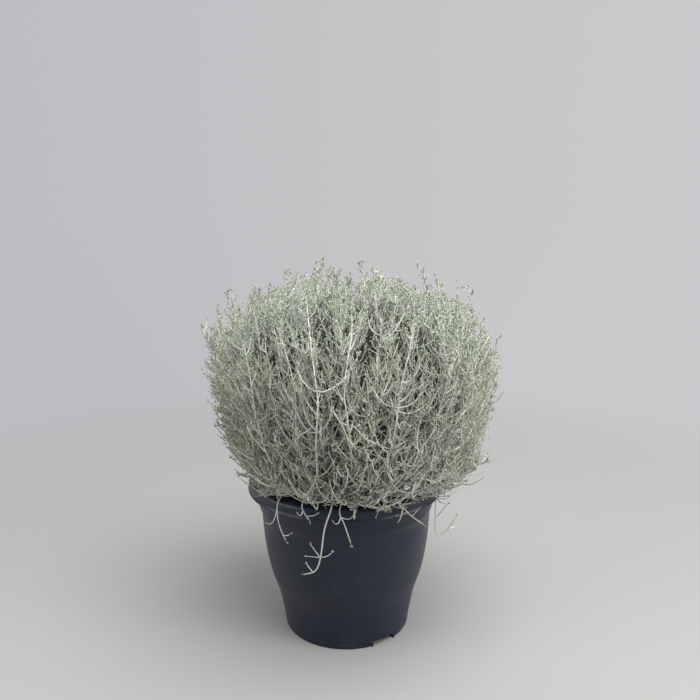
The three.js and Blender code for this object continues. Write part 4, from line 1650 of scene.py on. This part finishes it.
    def build(self, sprays: list[Spray], materials: dict[Slot, Material]) -> None:
        """Builds every spray.

        Args:
            sprays: The sprays.
            materials: The finish of each slot.
        """
        rng = np.random.default_rng(2)
        heart = np.array(self.dome.heart)
        ends = self.dome.even_points(self.leaders, self.lowest_tip, rng)
        ways = unit(ends - heart)
        share = rng.random(len(ends)) ** self.poke_power
        rise = np.clip(ways[:, 2], 0, 1)
        poke = ramp(self.side_poke, share) * (1 - rise) + ramp(self.top_poke, share) * rise
        poke *= 1 + self.low_poke * np.clip(1 - ways[:, 2] / 0.5, 0, 1)
        ends = ends + unit(ways * 0.55 + UP * 0.45) * poke[:, None]
        axes = np.array([spray.axis for spray in sprays])
        owner = np.argmax(unit(ends - heart) @ axes.T, axis=1)
        middles = np.array([stem.route[len(stem.route) // 2] for stem in FACE_STEMS])
        face_owner = np.argmax(unit(middles - heart) @ axes.T, axis=1)
        for i, spray in enumerate(sprays):
            face = [stem for stem, its in zip(FACE_STEMS, face_owner) if its == i]
            self.build_spray(spray, ends[owner == i], face, materials[spray.slot])


# The studio


@dataclass(frozen=True)
class PhotoCamera:
    """The camera, where the photograph was taken from."""

    place: Point = (-0.0005, -0.9534, 0.5838)
    pitch: float = 0.198
    yaw: float = -0.008
    roll: float = -0.007
    lens: float = 36.94
    sensor: float = 36.0

    def build(self) -> None:
        """Makes the camera the scene's own."""
        data = bpy.data.cameras.new("camera")
        data.lens = self.lens
        data.sensor_width = self.sensor
        camera = bpy.data.objects.new("camera", data)
        bpy.context.scene.collection.objects.link(camera)
        camera.matrix_world = (Matrix.Translation(self.place) @ Matrix.Rotation(self.yaw, 4, "Z")
                               @ Matrix.Rotation(math.pi / 2 - self.pitch, 4, "X")
                               @ Matrix.Rotation(self.roll, 4, "Z"))
        bpy.context.scene.camera = camera


@dataclass(frozen=True)
class SoftLight:
    """A large soft lamp that is aimed at the plant."""

    name: str
    place: Point
    size: float
    power: float
    colour: Colour = (1.0, 1.0, 1.0)
    aim: Point = (0.0, 0.0, 0.28)

    def build(self) -> None:
        """Hangs the lamp."""
        data = bpy.data.lights.new(self.name, "AREA")
        data.shape = "DISK"
        data.size = self.size
        data.energy = self.power
        data.color = self.colour
        lamp = bpy.data.objects.new(self.name, data)
        bpy.context.scene.collection.objects.link(lamp)
        way = Vector(self.aim) - Vector(self.place)
        turn = way.to_track_quat("-Z", "Y").to_matrix().to_4x4()
        lamp.matrix_world = Matrix.Translation(self.place) @ turn


@dataclass
class Studio:
    """A plain pale floor that fades far off into a pale surround, which is painted lighter on the right
    than on the left as painted light, and soft light that is brighter from above and from the right.
    """

    floor_radius: float = 60.0
    floor_near: Colour = (0.38, 0.375, 0.37)
    floor_fade: Span = (0.30, 1.5)
    far_glow: float = 1.0
    # painted light and shade: the surround is painted darker on the left and lighter on the right
    surround_left_painted_shade: Colour = (0.515, 0.505, 0.53)
    surround_right_painted_light: Colour = (0.595, 0.585, 0.60)
    sky_low: Colour = (0.24, 0.24, 0.27)
    sky_high: Colour = (1.0, 1.0, 1.0)
    sky_strength: float = 0.72
    sky_right: float = 0.5
    sky_back: float = 0.85
    sky_lift: Span = (-0.6, 1.0)
    painted_light_turn_span: Span = (-0.6, 0.6)
    lights: tuple[SoftLight, ...] = (
        SoftLight("ceiling", (0.5, -0.6, 2.2), 1.9, 52.0),
        SoftLight("window", (2.0, -0.9, 0.8), 1.1, 26.0),
        SoftLight("fill", (-2.1, -0.7, 0.9), 1.4, 21.0),
    )

    def build(self) -> None:
        """Builds the floor, the surround and the lamps."""
        self._lay_floor()
        self._surround()
        bpy.context.scene.view_settings.view_transform = "Standard"
        for light in self.lights:
            light.build()

    def _lay_floor(self) -> None:
        """The floor, which fades into the surround far off."""
        bm = bmesh.new()
        bmesh.ops.create_circle(bm, cap_ends=True, segments=96, radius=self.floor_radius)
        floor = link_piece("floor", mesh_from("floor", bm))
        material, sheet, shader, place = new_material("pale floor")
        length = sheet.add("ShaderNodeVectorMath", operation="LENGTH")
        sheet.feed(length, Vector=place)
        far = sheet.band(length.outputs["Value"], *self.floor_fade)
        way = sheet.add("ShaderNodeVectorMath", operation="NORMALIZE")
        sheet.feed(way, Vector=place)
        # far off the floor glows with the surround's colour, which is painted lighter to the right
        sheet.feed(shader, Base_Color=sheet.mix(far, opaque(self.floor_near), opaque(BLACK)),
                   Emission_Color=self._pale(sheet, way.outputs["Vector"]),
                   Emission_Strength=sheet.sum("MULTIPLY", far, self.far_glow),
                   Roughness=0.8, Specular_IOR_Level=0.0)
        floor.data.materials.append(material)

    def _pale(self, sheet: NodeSheet, way: Socket) -> Socket:
        """The surround's colour in a direction: painted lighter towards the right and darker towards the
        left, as painted light and shade.

        Args:
            sheet: The floor's or the world's sheet.
            way: The direction from the plant.

        Returns:
            The colour's socket.
        """
        parts = sheet.add("ShaderNodeSeparateXYZ")
        sheet.feed(parts, Vector=way)
        # painted light: the surround turns from darker on the left to lighter on the right
        right = sheet.band(parts.outputs["X"], *self.painted_light_turn_span)
        return sheet.mix(right, opaque(self.surround_left_painted_shade), opaque(self.surround_right_painted_light))

    def _surround(self) -> None:
        """A pale surround that lights the plant more from above, and where it is seen shows a pale colour
        that is painted lighter to the right.
        """
        world = bpy.data.worlds.new("studio")
        world.use_nodes = True
        sheet = NodeSheet(world.node_tree)
        light = next(n for n in world.node_tree.nodes if n.type == "BACKGROUND")
        result = next(n for n in world.node_tree.nodes if n.type == "OUTPUT_WORLD")
        way = sheet.add("ShaderNodeSeparateXYZ")
        towards = sheet.add("ShaderNodeTexCoord").outputs["Generated"]
        sheet.feed(way, Vector=towards)
        lift = sheet.sum("MULTIPLY_ADD", way.outputs["X"], self.sky_right, way.outputs["Z"])
        lift = sheet.sum("MULTIPLY_ADD", way.outputs["Y"], self.sky_back, lift)
        glow = sheet.mix(sheet.band(lift, *self.sky_lift), opaque(self.sky_low), opaque(self.sky_high))
        sheet.feed(light, Color=glow, Strength=self.sky_strength)
        seen = sheet.add("ShaderNodeBackground")
        sheet.feed(seen, Color=self._pale(sheet, towards))
        choice = sheet.add("ShaderNodeMixShader")
        ray = sheet.add("ShaderNodeLightPath")
        sheet.tree.links.new(ray.outputs["Is Camera Ray"], choice.inputs[0])
        sheet.tree.links.new(light.outputs[0], choice.inputs[1])
        sheet.tree.links.new(seen.outputs[0], choice.inputs[2])
        sheet.tree.links.new(choice.outputs[0], result.inputs["Surface"])
        bpy.context.scene.world = world


def main() -> None:
    """Builds the object piece by piece and reports each one."""
    logging.basicConfig(level=logging.INFO, format="%(message)s")
    PhotoCamera().build()
    Studio().build()
    effects = SharedEffects()
    pot = Pot()
    dome = Dome()
    sprays = [spray for ring in RINGS for spray in ring.sprays()]
    felts = {Slot.LOWER_FELT: LOWER_FELT.build(effects), Slot.UPPER_FELT: UPPER_FELT.build(effects)}
    pot.build(PLASTIC.build(effects))
    PottingSoil(pot).build(SOIL.build(effects))
    bark = BARK.build(effects)
    crown = WoodyCrown(dome)
    crown.build(sprays, bark)
    crown.build_old_stem("spray_skirt_1", bark)
    Bush(dome, pot).build(sprays, felts)


if __name__ == "__main__":
    main()
